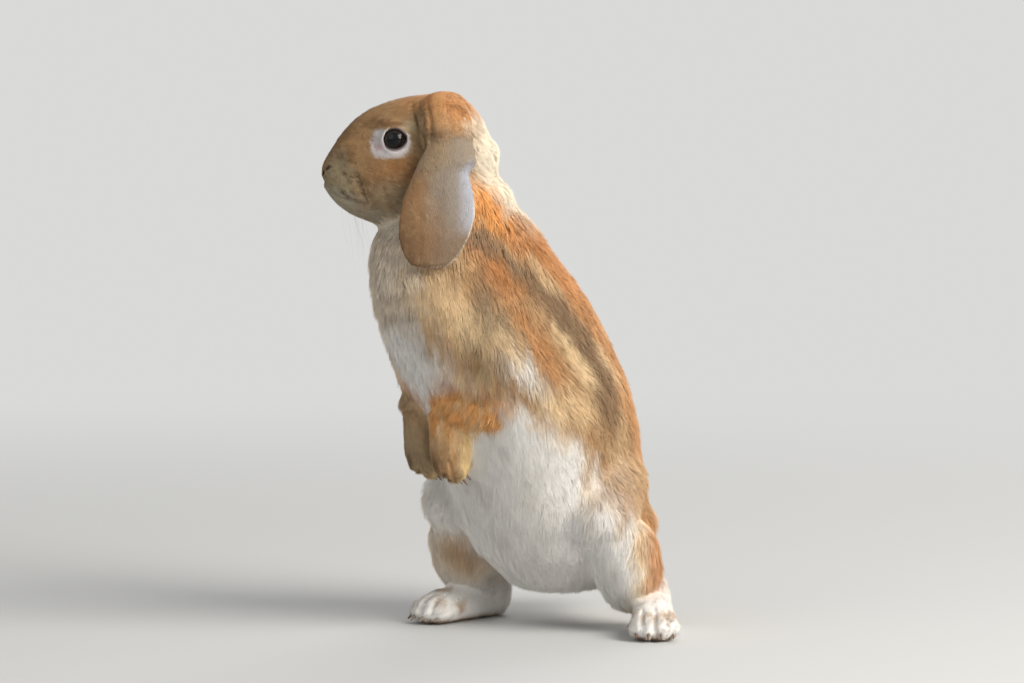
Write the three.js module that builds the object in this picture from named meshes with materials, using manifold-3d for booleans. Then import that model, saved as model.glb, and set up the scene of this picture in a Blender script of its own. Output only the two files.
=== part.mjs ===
// A lop-eared rabbit standing upright on its hind feet, forepaws hanging, head turned to its right.
// Millimetres, +Z up. The pelvis faces -Y and the animal's left side is +X.
// The solids carry the outline of the coat's tips, not of the skin under it.
import * as THREE from "three";
import { mergeVertices } from "three/addons/utils/BufferGeometryUtils.js";
import Module from "manifold-3d";

const wasm = await Module();
wasm.setup();

// ---------------------------------------------------------------- driving dimensions
const GAP = 0.3; // clear space between two nodes that meet
const HEAD_CENTRE = [-30.4, -89.8, 305.3]; // middle of the skull
const HEAD_TURN = 58; // degrees the head is turned to the animal's right
const CHEST_TURN = 24; // degrees the chest is turned to the right
const EYE_RADIUS = 8.3;
const CUTTER = 600; // side of the blocks that trim the solids, larger than the animal
const EYE_AT = [25.2, 22.4, 13]; // forward, sideways and up from the skull's middle
const HIND_FOOT_LENGTH = 80;
const HIND_CLAW = { length: 11, radius: 1.7 };
const FORE_CLAW = { length: 9, radius: 1.4 };

// Body, rump to nape: height, x, y, half width, depth ahead, depth behind, turn in degrees.
const BODY = [
  [30, 4, 5, 40, 38, 40, 0],
  [50, 2, 3, 56, 56, 58, 0],
  [75, -1, -1, 61, 66, 66, 2],
  [100, -3, -9, 63, 68, 73, 6],
  [130, -6, -19, 67, 70, 78, 12],
  [160, -9, -32, 66, 79, 80, 17],
  [190, -13, -47, 60, 79, 79, 21],
  [215, -17, -60, 54, 75, 76, 24],
  [238, -20, -72, 47, 67, 67, 28],
  [256, -22, -80, 42, 57, 58, 34],
  [272, -22, -82, 39, 43, 44.5, 42],
  [288, -26, -87, 35, 30, 38, 50],
  [302, -29, -89, 31, 26, 33, 56],
];
const LAST_DOME_RING = 0.45; // share of a step by which a dome stops short of its pole
const SHOULDER_LINE = { height: 250, tilt: 24 }; // where the neck leaves the trunk, and its slope
// Head, nape to nose: forward of the middle, top, underside, level of the widest place, half width.
const HEAD = [
  [-35, 17, -20, 0, 20],
  [-29, 29, -32, 0, 26],
  [-20, 38.5, -41, 0, 30],
  [-10, 42.6, -47, -2, 31.6],
  [0, 43.3, -50, -4, 32.2],
  [11, 42, -50.5, -7, 32],
  [22, 40.2, -49, -10, 31],
  [33, 37, -46, -13, 28.6],
  [44, 32.4, -41, -15, 24.6],
  [54, 25, -36.2, -15.5, 21.6],
  [62, 15.6, -31, -14, 18.4],
  [68, 6, -24.5, -12, 14.4],
  [71.5, 0, -17, -9, 10],
];
// Hanging ear, root to tip: forward, sideways, up, half breadth, half thickness, inward curl of the rims.
const EAR = [
  [-4, 17, 34, 10, 7.5, 0],
  [-7, 28, 29, 12, 7.5, 0.5],
  [-9, 36, 19, 13.6, 6.4, 1.5],
  [-9.5, 40, 9, 14.6, 5, 3],
  [-8, 42, 0, 18.4, 3.8, 4.5],
  [-3.8, 43, -8, 17.6, 3.2, 5],
  [-2.6, 44, -22, 22.6, 2.8, 5.5],
  [-1.4, 45, -34.5, 24.5, 2.6, 5.5],
  [0.8, 46, -47, 22.9, 2.5, 5],
  [2, 46.5, -56.6, 19.1, 2.4, 4],
  [2.8, 46.5, -64, 13.5, 2.2, 2.5],
];
// Hind foot, heel to toes: distance from the back of the heel, half width, height.
const HIND_FOOT = [
  [6, 12, 38],
  [18, 13.5, 37],
  [32, 14, 29],
  [46, 15, 25],
  [60, 16.5, 22],
  [70, 16, 19],
];

// ---------------------------------------------------------------- small tools
const radians = THREE.MathUtils.degToRad;
const point = (x, y, z) => new THREE.Vector3(x, y, z);

// The two level directions of a body part turned to the animal's right: straight ahead, and to its left.
function facing(turn) {
  const t = radians(turn);
  return { ahead: point(-Math.sin(t), -Math.cos(t), 0), left: point(Math.cos(t), -Math.sin(t), 0) };
}

// A vector curve through a list of vectors, t from 0 to 1.
function vectorThrough(vectors, t) {
  return new THREE.CatmullRomCurve3(vectors, false, "catmullrom", 0.5).getPoint(t);
}

// Closed surface over rings of equal count, pinched to a point at both ends.
function closedOver(rings) {
  const around = rings[0].length;
  const places = [];
  const faces = [];
  const middleOf = (ring) =>
    ring.reduce((sum, p) => sum.add(p), point(0, 0, 0)).multiplyScalar(1 / ring.length);
  for (const ring of rings) {
    for (const p of ring) places.push(p.x, p.y, p.z);
  }
  for (let r = 0; r + 1 < rings.length; r++) {
    for (let k = 0; k < around; k++) {
      const a = r * around + k;
      const b = r * around + ((k + 1) % around);
      faces.push(a, b, b + around);
      faces.push(a, b + around, a + around);
    }
  }
  const first = places.length / 3;
  const startMiddle = middleOf(rings[0]);
  const endMiddle = middleOf(rings[rings.length - 1]);
  places.push(startMiddle.x, startMiddle.y, startMiddle.z);
  places.push(endMiddle.x, endMiddle.y, endMiddle.z);
  for (let k = 0; k < around; k++) {
    const next = (k + 1) % around;
    const last = (rings.length - 1) * around;
    faces.push(first, next, k);
    faces.push(first + 1, last + k, last + next);
  }
  const geometry = new THREE.BufferGeometry();
  geometry.setAttribute("position", new THREE.Float32BufferAttribute(places, 3));
  geometry.setIndex(faces);
  return geometry;
}

// A soft body through cross-sections. A section has a centre, a side half-axis, an upper and a lower
// half-axis (all vectors) and, for ears, a curl that pulls both side rims over.
// Both ends are domed by a share of the end section's size; grow swells the whole body.
function softBody(sections, options = {}) {
  const { around = 20, startDome = 0.5, endDome = 0.5 } = options;
  const { power = 2, grow = 0, domeRings = 3 } = options;
  const pick = (key) => sections.map((s) => s[key]);
  const centres = pick("centre");
  const sides = pick("side");
  const uppers = pick("upper");
  const lowers = pick("lower");
  const curls = sections.map((s) => s.curl || point(0, 0, 0));
  const swell = (axis) => axis.clone().setLength(axis.length() + grow);
  const rounded = (value) => Math.sign(value) * Math.pow(Math.abs(value), 2 / power);
  const rings = [];
  const ringAt = (t, size, shift) => {
    const centre = vectorThrough(centres, t).add(shift);
    const side = swell(vectorThrough(sides, t)).multiplyScalar(size);
    const upper = swell(vectorThrough(uppers, t)).multiplyScalar(size);
    const lower = swell(vectorThrough(lowers, t)).multiplyScalar(size);
    const curl = vectorThrough(curls, t).multiplyScalar(size * size);
    const ring = [];
    for (let k = 0; k < around; k++) {
      const angle = (k / around) * Math.PI * 2;
      const c = rounded(Math.cos(angle));
      const s = rounded(Math.sin(angle));
      const p = centre.clone().addScaledVector(side, c);
      p.addScaledVector(s > 0 ? upper : lower, Math.abs(s));
      p.addScaledVector(curl, c * c);
      ring.push(p);
    }
    return ring;
  };
  const last = sections.length - 1;
  const outwardAt = (t) => vectorThrough(sides, t).cross(vectorThrough(uppers, t)).normalize();
  const reach = (i, dome) => Math.min(sides[i].length(), uppers[i].length() + lowers[i].length()) * dome + grow;
  const domeAt = (i, dome, along) => {
    const t = i / last;
    const made = [];
    for (let d = 1; d <= domeRings; d++) {
      const turned = d === domeRings ? d - LAST_DOME_RING : d;
      const angle = (turned / domeRings) * (Math.PI / 2);
      const shift = outwardAt(t).multiplyScalar(along * reach(i, dome) * Math.sin(angle));
      made.push(ringAt(t, Math.cos(angle), shift));
    }
    return made;
  };
  // Which way the sections run decides which way their domes and faces point.
  const run = centres[last].clone().sub(centres[0]);
  const forward = Math.sign(outwardAt(0.5).dot(run)) || 1;
  rings.push(...domeAt(0, startDome, -forward).reverse());
  for (let i = 0; i <= last; i++) rings.push(ringAt(i / last, 1, point(0, 0, 0)));
  rings.push(...domeAt(last, endDome, forward));
  if (forward < 0) rings.forEach((ring) => ring.reverse());
  return closedOver(rings);
}

// Between three.js geometry and a manifold-3d solid.
function solidFrom(geometry) {
  const welded = mergeVertices(geometry.clone().deleteAttribute("normal").deleteAttribute("uv"), 1e-4);
  return new wasm.Manifold(
    new wasm.Mesh({
      numProp: 3,
      vertProperties: new Float32Array(welded.getAttribute("position").array),
      triVerts: new Uint32Array(welded.index.array),
    }),
  );
}

function geometryFrom(solid) {
  const mesh = solid.getMesh();
  const geometry = new THREE.BufferGeometry();
  geometry.setAttribute("position", new THREE.BufferAttribute(new Float32Array(mesh.vertProperties), 3));
  geometry.setIndex(new THREE.BufferAttribute(new Uint32Array(mesh.triVerts), 1));
  geometry.computeVertexNormals();
  return geometry;
}

// ---------------------------------------------------------------- frames of the parts
const head = facing(HEAD_TURN);
const chest = facing(CHEST_TURN);
const headCentre = point(...HEAD_CENTRE);
const up = point(0, 0, 1);

// A place given forward, sideways (left is +) and up from the skull's middle.
const onHead = (forward, sideways, raised) =>
  headCentre
    .clone()
    .addScaledVector(head.ahead, forward)
    .addScaledVector(head.left, sideways)
    .addScaledVector(up, raised);

// The body's middle line at a height.
function bodyMiddle(height) {
  const line = BODY.map(([z, x, y]) => point(x, y, z));
  let below = 0;
  while (below < line.length - 2 && line[below + 1].z < height) below++;
  const share = (height - line[below].z) / (line[below + 1].z - line[below].z);
  return line[below].clone().lerp(line[below + 1], share);
}

// A place given ahead of and beside the body's middle line at a height.
const onChest = (forward, sideways, height) =>
  bodyMiddle(height).addScaledVector(chest.ahead, forward).addScaledVector(chest.left, sideways);

// A round limb through places with their own radii.
const limb = (places, options) => (grow) =>
  softBody(
    places.map(([at, radius, flat = 1], i) => {
      const next = places[Math.min(i + 1, places.length - 1)][0];
      const before = places[Math.max(i - 1, 0)][0];
      const along = next.clone().sub(before).normalize();
      const helper = options.side || point(1, 0, 0);
      const side = helper.clone().addScaledVector(along, -helper.dot(along)).normalize();
      const over = along.clone().cross(side).normalize();
      return {
        centre: at,
        side: side.multiplyScalar(radius * flat),
        upper: over.clone().multiplyScalar(radius),
        lower: over.clone().multiplyScalar(-radius),
      };
    }),
    { ...options, grow },
  );

// ---------------------------------------------------------------- the parts, each a function of its growth
const uprightBody = (table, options) => (grow) =>
  softBody(
    table.map(([z, x, y, width, ahead, behind, turn]) => {
      const { ahead: front, left } = facing(turn);
      return {
        centre: point(x, y, z),
        side: left.multiplyScalar(width),
        upper: front.clone().multiplyScalar(ahead),
        lower: front.clone().multiplyScalar(-behind),
      };
    }),
    { ...options, grow },
  );

const body = uprightBody(BODY, { around: 22, startDome: 0.25, endDome: 0.2, power: 2.1 });

// Everything above the sloping line between the shoulders and the throat.
const aboveShoulders = (grow) => {
  const block = new THREE.BoxGeometry(CUTTER, CUTTER, CUTTER).translate(0, 0, CUTTER / 2 - grow);
  block.rotateX(radians(SHOULDER_LINE.tilt)).rotateZ(radians(-CHEST_TURN));
  const at = bodyMiddle(SHOULDER_LINE.height);
  return block.translate(at.x, at.y, at.z);
};

const headBody = (grow) =>
  softBody(
    HEAD.map(([forward, top, bottom, level, width]) => ({
      centre: onHead(forward, 0, level),
      side: head.left.clone().multiplyScalar(width),
      upper: up.clone().multiplyScalar(top - level),
      lower: up.clone().multiplyScalar(bottom - level),
    })),
    { around: 20, startDome: 0.3, endDome: 0.2, domeRings: 2, power: 2.15, grow },
  );

const ear = (hand) => (grow) =>
  softBody(
    EAR.map(([forward, sideways, raised, breadth, thickness, curl], i) => {
      const next = EAR[Math.min(i + 1, EAR.length - 1)];
      const before = EAR[Math.max(i - 1, 0)];
      const along = onHead(next[0], next[1] * hand, next[2]).sub(onHead(before[0], before[1] * hand, before[2]));
      const side = head.ahead.clone().multiplyScalar(breadth);
      const out = along.normalize().cross(head.ahead).normalize().multiplyScalar(-hand);
      return {
        centre: onHead(forward, sideways * hand, raised),
        side,
        upper: out.clone().multiplyScalar(thickness),
        lower: out.clone().multiplyScalar(-thickness),
        curl: out.clone().multiplyScalar(-curl),
      };
    }),
    { around: 14, startDome: 0.4, endDome: 0.5, power: 2.1, grow },
  );

const eyeball = (hand) => (grow) => {
  const ball = new THREE.SphereGeometry(EYE_RADIUS + grow, 14, 8);
  ball.rotateX(Math.PI / 2).rotateZ(radians(-HEAD_TURN));
  const at = onHead(EYE_AT[0], EYE_AT[1] * hand, EYE_AT[2]);
  return ball.translate(at.x, at.y, at.z);
};

const tail = limb(
  [
    [point(3, 56, 48), 15],
    [point(3, 67, 52), 20],
    [point(3, 77, 61), 18],
    [point(3, 81, 72), 12],
  ],
  { around: 12, startDome: 0.6, endDome: 0.7, domeRings: 2 },
);

// Foreleg: upper arm down the side of the chest, forearm forward to the wrist, paw hanging.
const upperArm = (hand) =>
  limb(
    [
      [onChest(16, 32 * hand, 214), 22, 0.9],
      [onChest(26, 36 * hand, 190), 30, 0.9],
      [onChest(32, 39 * hand, 166), 29, 0.9],
      [onChest(34, 40 * hand, 148), 21, 0.9],
    ],
    { around: 10, side: chest.left, startDome: 0.5, endDome: 0.6, domeRings: 1 },
  );
const forearm = (hand) =>
  limb(
    [
      [onChest(44, 42 * hand, 149), 14.5],
      [onChest(53, 32 * hand, 149), 17],
      [onChest(60, 22 * hand, 149), 16.5],
      [onChest(64.5, 15.5 * hand, 147), 14.8],
    ],
    { around: 10, side: chest.left, startDome: 0.4, endDome: 0.5, domeRings: 2 },
  );
// Hanging paw, wrist to toes: ahead of and beside the chest's middle, height, radius.
const FOREPAW = [
  [65, 15.5, 146, 14.4],
  [69.5, 15.4, 131, 14.8],
  [73.5, 15.4, 118, 14.6],
  [75.5, 15, 108, 12.8],
];
const forepawPalm = (hand) =>
  limb(
    FOREPAW.map(([ahead, beside, height, radius]) => [onChest(ahead, beside * hand, height), radius]),
    { around: 10, side: chest.left, startDome: 0.6, endDome: 0.5, domeRings: 1 },
  );

// Hind leg: haunch to knee, shank from the knee back to the hock, long foot flat on the floor.
// The pelvis leans over the right foot, so the haunches sit to that side and the left one is slighter.
const LEGS = {
  left: { hand: 1, heel: point(63, 22, 0), splay: 32, haunchAt: point(-4.5, -3, -2), fullness: -1 },
  right: { hand: -1, heel: point(-51, 22, 0), splay: 12, haunchAt: point(-5, -3.5, 2), fullness: 1 },
};
const SHANK_FOLLOWS = 0.35; // share of the haunch's shift that the shank takes up
const footAhead = ({ hand, splay }) => facing(-splay * hand).ahead;
const footLeft = ({ hand, splay }) => facing(-splay * hand).left;
const onFoot = (leg, along, sideways, height) =>
  leg.heel
    .clone()
    .addScaledVector(footAhead(leg), along)
    .addScaledVector(footLeft(leg), sideways)
    .add(point(0, 0, height));
const TOE_SPACING = [-11.4, -4, 4, 11.4];
const TOE_SHORTFALL = [5, 0, 0, 5];

const footSole = (leg) => (grow) =>
  softBody(
    HIND_FOOT.map(([along, width, height]) => ({
      centre: onFoot(leg, along, 0, height * 0.42),
      side: footLeft(leg).multiplyScalar(width),
      upper: point(0, 0, height * 0.58),
      lower: point(0, 0, -height * 0.42 - 1.5),
    })),
    { around: 14, startDome: 0.7, endDome: 0.5, domeRings: 2, power: 2.4, grow },
  );
const hindToes = (leg) =>
  TOE_SPACING.map((sideways, i) => {
    const tip = HIND_FOOT_LENGTH - TOE_SHORTFALL[i];
    return limb(
      [
        [onFoot(leg, 56, sideways * 0.7, 10), 7],
        [onFoot(leg, tip - 12, sideways, 8.5), 7.2],
        [onFoot(leg, tip - 6, sideways * 1.05, 7.5), 6.4],
      ],
      { around: 6, side: footLeft(leg), startDome: 0, endDome: 0.9, domeRings: 1 },
    );
  });
// Shank and haunch, by distance out from the legs' middle line: out, y, height, radius, narrowing sideways.
const LEG_MIDDLE = 3;
const SHANK = [
  [61, 1, 24, 20],
  [61.5, -6, 38, 25],
  [61, -12, 54, 25.5],
  [58, -18, 68, 22],
];
const HAUNCH = [
  [55, -25, 74, 26, 1],
  [51, -13, 85, 29, 0.92],
  [45, 2, 95, 32, 0.88],
  [37, 14, 104, 31, 0.88],
];
const legPlaces = (table, { hand, haunchAt, fullness }, follows) =>
  table.map(([out, y, height, radius, narrowing]) => [
    point(LEG_MIDDLE + out * hand, y, height).addScaledVector(haunchAt, follows),
    radius + fullness * follows,
    narrowing,
  ]);
const shank = (leg) =>
  limb(legPlaces(SHANK, leg, SHANK_FOLLOWS), { around: 12, startDome: 0.5, endDome: 0.4, domeRings: 1 });
const thigh = (leg) =>
  limb(legPlaces(HAUNCH, leg, 1), { around: 12, startDome: 0.7, endDome: 0.6, domeRings: 2 });

// A bent, pointed claw from its root to its tip.
const claw = (root, middle, tip, radius) =>
  limb(
    [
      [root, radius],
      [middle, radius * 0.8],
      [tip, radius * 0.32],
    ],
    { around: 5, side: point(1, 0.3, 0), domeRings: 0 },
  );
const hindClaws = (leg) =>
  TOE_SPACING.map((sideways, i) => {
    const tip = HIND_FOOT_LENGTH - TOE_SHORTFALL[i];
    const { length, radius } = HIND_CLAW;
    return claw(
      onFoot(leg, tip - length + 2.5, sideways, 7.5),
      onFoot(leg, tip - length / 2 + 2.5, sideways * 1.02, 6.6),
      onFoot(leg, tip + 2.5, sideways * 1.05, 3),
      radius,
    );
  });
const FORE_TOES = [-9, -3.2, 3.2, 9];
const foreToeEnd = (i) => 99 + [3.5, 0, 0, 3.5][i];
const foreToes = (hand) =>
  FORE_TOES.map((sideways, i) => {
    const [ahead, beside] = FOREPAW[FOREPAW.length - 1];
    const middle = beside * hand;
    return limb(
      [
        [onChest(ahead + 1, middle + sideways * 0.8, 114), 5.6],
        [onChest(ahead + 0.5, middle + sideways, foreToeEnd(i) + 7), 5.6],
        [onChest(ahead - 0.5, middle + sideways, foreToeEnd(i) + 3), 4.6],
      ],
      { around: 6, side: chest.left, startDome: 0, endDome: 0.8, domeRings: 1 },
    );
  });
const foreClaws = (hand) => {
  const { length, radius } = FORE_CLAW;
  const [ahead, beside] = FOREPAW[FOREPAW.length - 1];
  const middle = beside * hand;
  const claws = FORE_TOES.map((sideways, i) =>
    claw(
      onChest(ahead - 2, middle + sideways, foreToeEnd(i) + length * 0.7),
      onChest(ahead - 3.5, middle + sideways, foreToeEnd(i) + length * 0.25),
      onChest(ahead - 6, middle + sideways, foreToeEnd(i) - length * 0.2),
      radius,
    ),
  );
  // The thumb's claw sits higher, on the inner side of the palm.
  const inner = middle - 9.5 * hand;
  claws.push(
    claw(
      onChest(ahead - 6, inner, 126),
      onChest(ahead - 9, inner - 1.2 * hand, 121),
      onChest(ahead - 12.5, inner - 1.6 * hand, 117.5),
      radius * 0.9,
    ),
  );
  return claws;
};

// ---------------------------------------------------------------- assembly
// Each entry: node name, colour, its solid, and the grown solid that its neighbours give way to.
const floorBlock = solidFrom(new THREE.BoxGeometry(CUTTER, CUTTER, CUTTER).translate(0, 0, -CUTTER / 2));
const built = [];
const joined = (pieces, grow) =>
  pieces.map((piece) => solidFrom(piece(grow))).reduce((sum, piece) => sum.add(piece));

function addPart(name, colour, pieces, options = {}) {
  let solid = joined(pieces, 0);
  let room = joined(pieces, GAP);
  if (options.inside) {
    solid = solid.intersect(solidFrom(options.inside(0)));
    room = room.intersect(solidFrom(options.inside(GAP)));
  }
  if (options.standsOnFloor) solid = solid.subtract(floorBlock);
  for (const earlier of built) solid = solid.subtract(earlier.room);
  // Slivers that a neighbour cuts off are dropped; the body itself is the largest piece.
  const bodies = solid.decompose().sort((a, b) => b.volume() - a.volume());
  built.push({ name, colour, solid: bodies[0], room });
}

const FAWN = 0xc08a5a;
const ORANGE = 0xd08a4c;
const CREAM = 0xe9dcc4;
const WHITE = 0xefebe0;
const TAUPE = 0xa58e7c;
const EYE_BLACK = 0x1a120e;
const HORN = 0x4a3b30;

const HANDS = [["left", 1], ["right", -1]];
for (const [side, hand] of HANDS) {
  addPart(`eye_${side}`, EYE_BLACK, [eyeball(hand)]);
  addPart(`ear_${side}`, TAUPE, [ear(hand)]);
}
addPart("head", FAWN, [headBody]);
for (const [side, hand] of HANDS) {
  addPart(`forepaw_${side}`, FAWN, [forepawPalm(hand), ...foreToes(hand)]);
  foreClaws(hand).forEach((piece, i) => addPart(`fore_claw_${side}_${i + 1}`, HORN, [piece]));
  addPart(`forearm_${side}`, ORANGE, [forearm(hand)]);
}
for (const [side, leg] of Object.entries(LEGS)) {
  addPart(`hind_foot_${side}`, WHITE, [footSole(leg), ...hindToes(leg)], { standsOnFloor: true });
  hindClaws(leg).forEach((piece, i) => addPart(`hind_claw_${side}_${i + 1}`, HORN, [piece]));
  addPart(`shank_${side}`, WHITE, [shank(leg)]);
  addPart(`thigh_${side}`, CREAM, [thigh(leg)]);
}
addPart("neck", CREAM, [body], { inside: aboveShoulders });
addPart("tail", WHITE, [tail]);
addPart("trunk", ORANGE, [body, upperArm(1), upperArm(-1)]);

const group = new THREE.Group();
group.name = "lop_eared_rabbit";
for (const { name, colour, solid } of built) {
  const material = new THREE.MeshStandardMaterial({ color: colour, roughness: 0.9 });
  const mesh = new THREE.Mesh(geometryFrom(solid), material);
  mesh.name = name;
  group.add(mesh);
}
// The part's own origin is the middle of its box on the floor.
const box = new THREE.Box3().setFromObject(group);
group.position.set(-(box.min.x + box.max.x) / 2, -(box.min.y + box.max.y) / 2, -box.min.z);

export default group;
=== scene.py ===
"""Lop-eared rabbit upright on its hind feet: one skin, a coat of tufts, eyes, lids, whiskers and claws."""

import functools
import itertools
import math

import bmesh
import bpy
import numpy as np
import openvdb
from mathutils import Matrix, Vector
from mathutils.kdtree import KDTree


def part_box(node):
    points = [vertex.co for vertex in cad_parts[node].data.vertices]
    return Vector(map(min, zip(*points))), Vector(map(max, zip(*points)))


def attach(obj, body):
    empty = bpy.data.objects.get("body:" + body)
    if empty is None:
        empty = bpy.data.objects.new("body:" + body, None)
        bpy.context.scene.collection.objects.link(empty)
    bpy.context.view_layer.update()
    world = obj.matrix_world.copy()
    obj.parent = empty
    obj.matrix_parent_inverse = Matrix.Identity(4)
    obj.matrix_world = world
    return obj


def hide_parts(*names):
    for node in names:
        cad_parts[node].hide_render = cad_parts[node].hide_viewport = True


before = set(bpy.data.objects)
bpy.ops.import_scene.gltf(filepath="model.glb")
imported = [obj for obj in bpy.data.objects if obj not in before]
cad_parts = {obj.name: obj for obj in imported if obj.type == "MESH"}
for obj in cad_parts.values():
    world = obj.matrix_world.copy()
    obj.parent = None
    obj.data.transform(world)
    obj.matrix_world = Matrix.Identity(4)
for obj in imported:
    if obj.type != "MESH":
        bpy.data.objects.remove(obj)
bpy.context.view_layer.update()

# Shapes are worked out in millimetres and turned into metres when a mesh is made.
MM = 0.001
UP = np.array((0.0, 0.0, 1.0))


# ---------------------------------------------------------------- small tools


def unit(vectors):
    """Vectors at length one."""
    vectors = np.asarray(vectors, float)
    return vectors / np.maximum(np.linalg.norm(vectors, axis=-1, keepdims=True), 1e-9)


def dot(a, b):
    return np.sum(a * b, axis=-1)


def step(low, high, values):
    """Soft step from 0 at low to 1 at high."""
    part = np.clip((np.asarray(values, float) - low) / (high - low), 0.0, 1.0)
    return part * part * (3.0 - 2.0 * part)


def mix(a, b, amount):
    return a + (b - a) * amount


def table(values, rows, column):
    """Read a column of a table whose first column rises."""
    rows = np.array(rows, float)
    return np.interp(values, rows[:, 0], rows[:, column])


def shown(name, data):
    """A new object in the scene."""
    made = bpy.data.objects.new(name, data)
    bpy.context.scene.collection.objects.link(made)
    return made


def middle(node):
    """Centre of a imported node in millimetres."""
    low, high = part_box(node)
    return (np.array(low) + np.array(high)) / (2.0 * MM)


def claw_row(foot, side, count=4):
    """Middles of a foot's claws, in order."""
    return [middle(f"{foot}_claw_{side}_{n}") for n in range(1, count + 1)]


def cell_corners(cells, soft=False):
    """The eight corners of the grid cell round each place, with each one's share of it."""
    first = np.floor(cells).astype(np.int64)
    part = cells - first
    if soft:
        part = part * part * (3.0 - 2.0 * part)
    for offset in itertools.product((0, 1), repeat=3):
        yield first + offset, np.prod(np.where(np.array(offset) == 1, part, 1.0 - part), axis=1)


def cloud(points, size, seed):
    """Smooth random values from -1 to 1 that change over about the given size, which may differ by axis."""
    total = np.zeros(len(points))
    for corner, weight in cell_corners(points / np.asarray(size, float) + 512.0, soft=True):
        key = (corner * (73856093, 19349663, 83492791)).sum(axis=1) + seed * 7919
        key = ((key ^ (key >> 11)) * 2654435761) & 0xFFFFFFFF
        key = ((key ^ (key >> 15)) * 2246822519) & 0xFFFFFFFF
        total += weight * (((key ^ (key >> 13)) & 0xFFFFFF) / float(0x7FFFFF) - 1.0)
    return total


def dye(red, green, blue):
    """A colour given as it looks on a screen, from 0 to 255, as linear light."""
    parts = np.array((red, green, blue), float) / 255.0
    return np.where(parts <= 0.04045, parts / 12.92, ((parts + 0.055) / 1.055) ** 2.4)


# ---------------------------------------------------------------- the animal's own frames

LEFT_EYE, RIGHT_EYE = middle("eye_left"), middle("eye_right")
EYE_RADIUS = float(np.ptp(np.array(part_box("eye_left"))[:, 2] / MM)) / 2.0
HEAD_LEFT = unit((LEFT_EYE - RIGHT_EYE) * (1.0, 1.0, 0.0))
HEAD_FORWARD = np.cross(HEAD_LEFT, UP)
EYE_FORWARD, EYE_UP = 25.2, 13.0
HEAD_MIDDLE = (LEFT_EYE + RIGHT_EYE) / 2.0 - EYE_FORWARD * HEAD_FORWARD - EYE_UP * UP
EYE_OUT = float(np.linalg.norm(LEFT_EYE - RIGHT_EYE)) / 2.0
# The point on the floor midway under the body.
STANCE = HEAD_MIDDLE - (-30.4, -89.8, 305.3)

# Midway between the forepaws and between the forearms.
PAWS = (middle("forepaw_left") + middle("forepaw_right")) / 2.0
FOREARMS = (middle("forearm_left") + middle("forearm_right")) / 2.0

# The body's axis and the way its front faces, by height: height, axis x, axis y, turn to its right.
BODY_LINE = (
    (30, 4, 5, 0), (50, 2, 3, 0), (75, -1, -1, 2), (100, -3, -9, 6), (130, -6, -19, 12), (160, -9, -32, 17),
    (190, -13, -47, 21), (215, -17, -60, 24), (238, -20, -72, 28), (256, -22, -80, 34), (272, -22, -82, 42),
    (288, -26, -87, 50), (302, -29, -89, 56),
)


def in_head(points):
    """Points as forward, left and up from the middle of the head."""
    offset = points - HEAD_MIDDLE
    return np.stack((dot(offset, HEAD_FORWARD), dot(offset, HEAD_LEFT), offset[:, 2]), axis=1)


def from_head(forward, left, up):
    return HEAD_MIDDLE + forward * HEAD_FORWARD + left * HEAD_LEFT + up * UP


def body_front(height):
    """The way the body faces at a height, as unit vectors."""
    turn = np.radians(table(height, BODY_LINE, 3))
    return np.stack((-np.sin(turn), -np.cos(turn), np.zeros_like(turn)), axis=-1)


def round_body(points):
    """Angle round the body from its front, in degrees, positive on its left side."""
    height = points[:, 2]
    axis = np.stack((table(height, BODY_LINE, 1), table(height, BODY_LINE, 2), height), axis=1)
    front = body_front(height)
    left = np.cross(UP, front)
    offset = points - (axis + STANCE * (1, 1, 0))
    return np.degrees(np.arctan2(dot(offset, left), dot(offset, front)))


# ---------------------------------------------------------------- the skin's solid field

SIDES = ("left", "right")
FLESH = {
    "head": ["head"],
    "ear": ["ear_left", "ear_right"],
    "neck": ["neck"],
    "trunk": ["trunk"],
    "tail": ["tail"],
    "forearm": ["forearm_left", "forearm_right"],
    "forepaw": ["forepaw_left", "forepaw_right"],
    "thigh": ["thigh_left", "thigh_right"],
    "shank": ["shank_left", "shank_right"],
    "foot": ["hind_foot_left", "hind_foot_right"],
}
CLAWS = [f"fore_claw_{side}_{n}" for side in SIDES for n in range(1, 6)]
CLAWS += [f"hind_claw_{side}_{n}" for side in SIDES for n in range(1, 5)]

VOXEL = 1.0
MARGIN = 8.0
BAND = 24.0
# Half the cut between neighbouring nodes, with a little to spare, so that the cuts close.
CUT_WIDTH = 0.5
NODE_CORNERS = np.array([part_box(node) for node in itertools.chain(*FLESH.values())]) / MM
LOW = NODE_CORNERS.min(axis=(0, 1)) - MARGIN
SHAPE = tuple(np.ceil((NODE_CORNERS.max(axis=(0, 1)) + MARGIN - LOW) / VOXEL).astype(int) + 1)
TRANSFORM = openvdb.createLinearTransform(
    [[VOXEL, 0, 0, 0], [0, VOXEL, 0, 0], [0, 0, VOXEL, 0], [*LOW.tolist(), 1]]
)
AXES = [LOW[i] + VOXEL * np.arange(SHAPE[i]) for i in range(3)]


def node_mesh(node):
    """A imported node's corners in millimetres and its triangles."""
    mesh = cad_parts[node].data
    points = np.empty(len(mesh.vertices) * 3, np.float32)
    mesh.vertices.foreach_get("co", points)
    mesh.calc_loop_triangles()
    triangles = np.empty(len(mesh.loop_triangles) * 3, np.int32)
    mesh.loop_triangles.foreach_get("vertices", triangles)
    return points.reshape(-1, 3) / np.float32(MM), triangles.reshape(-1, 3)


def distance_to(points, triangles):
    """Distance to a closed surface over the whole grid, below zero inside and cut off at the band's width."""
    level = openvdb.FloatGrid.createLevelSetFromPolygons(
        points.astype(np.float32), triangles=triangles.astype(np.uint32), transform=TRANSFORM, halfWidth=BAND
    )
    field = np.full(SHAPE, BAND * VOXEL, np.float32)
    level.copyToArray(field)
    return field


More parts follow.
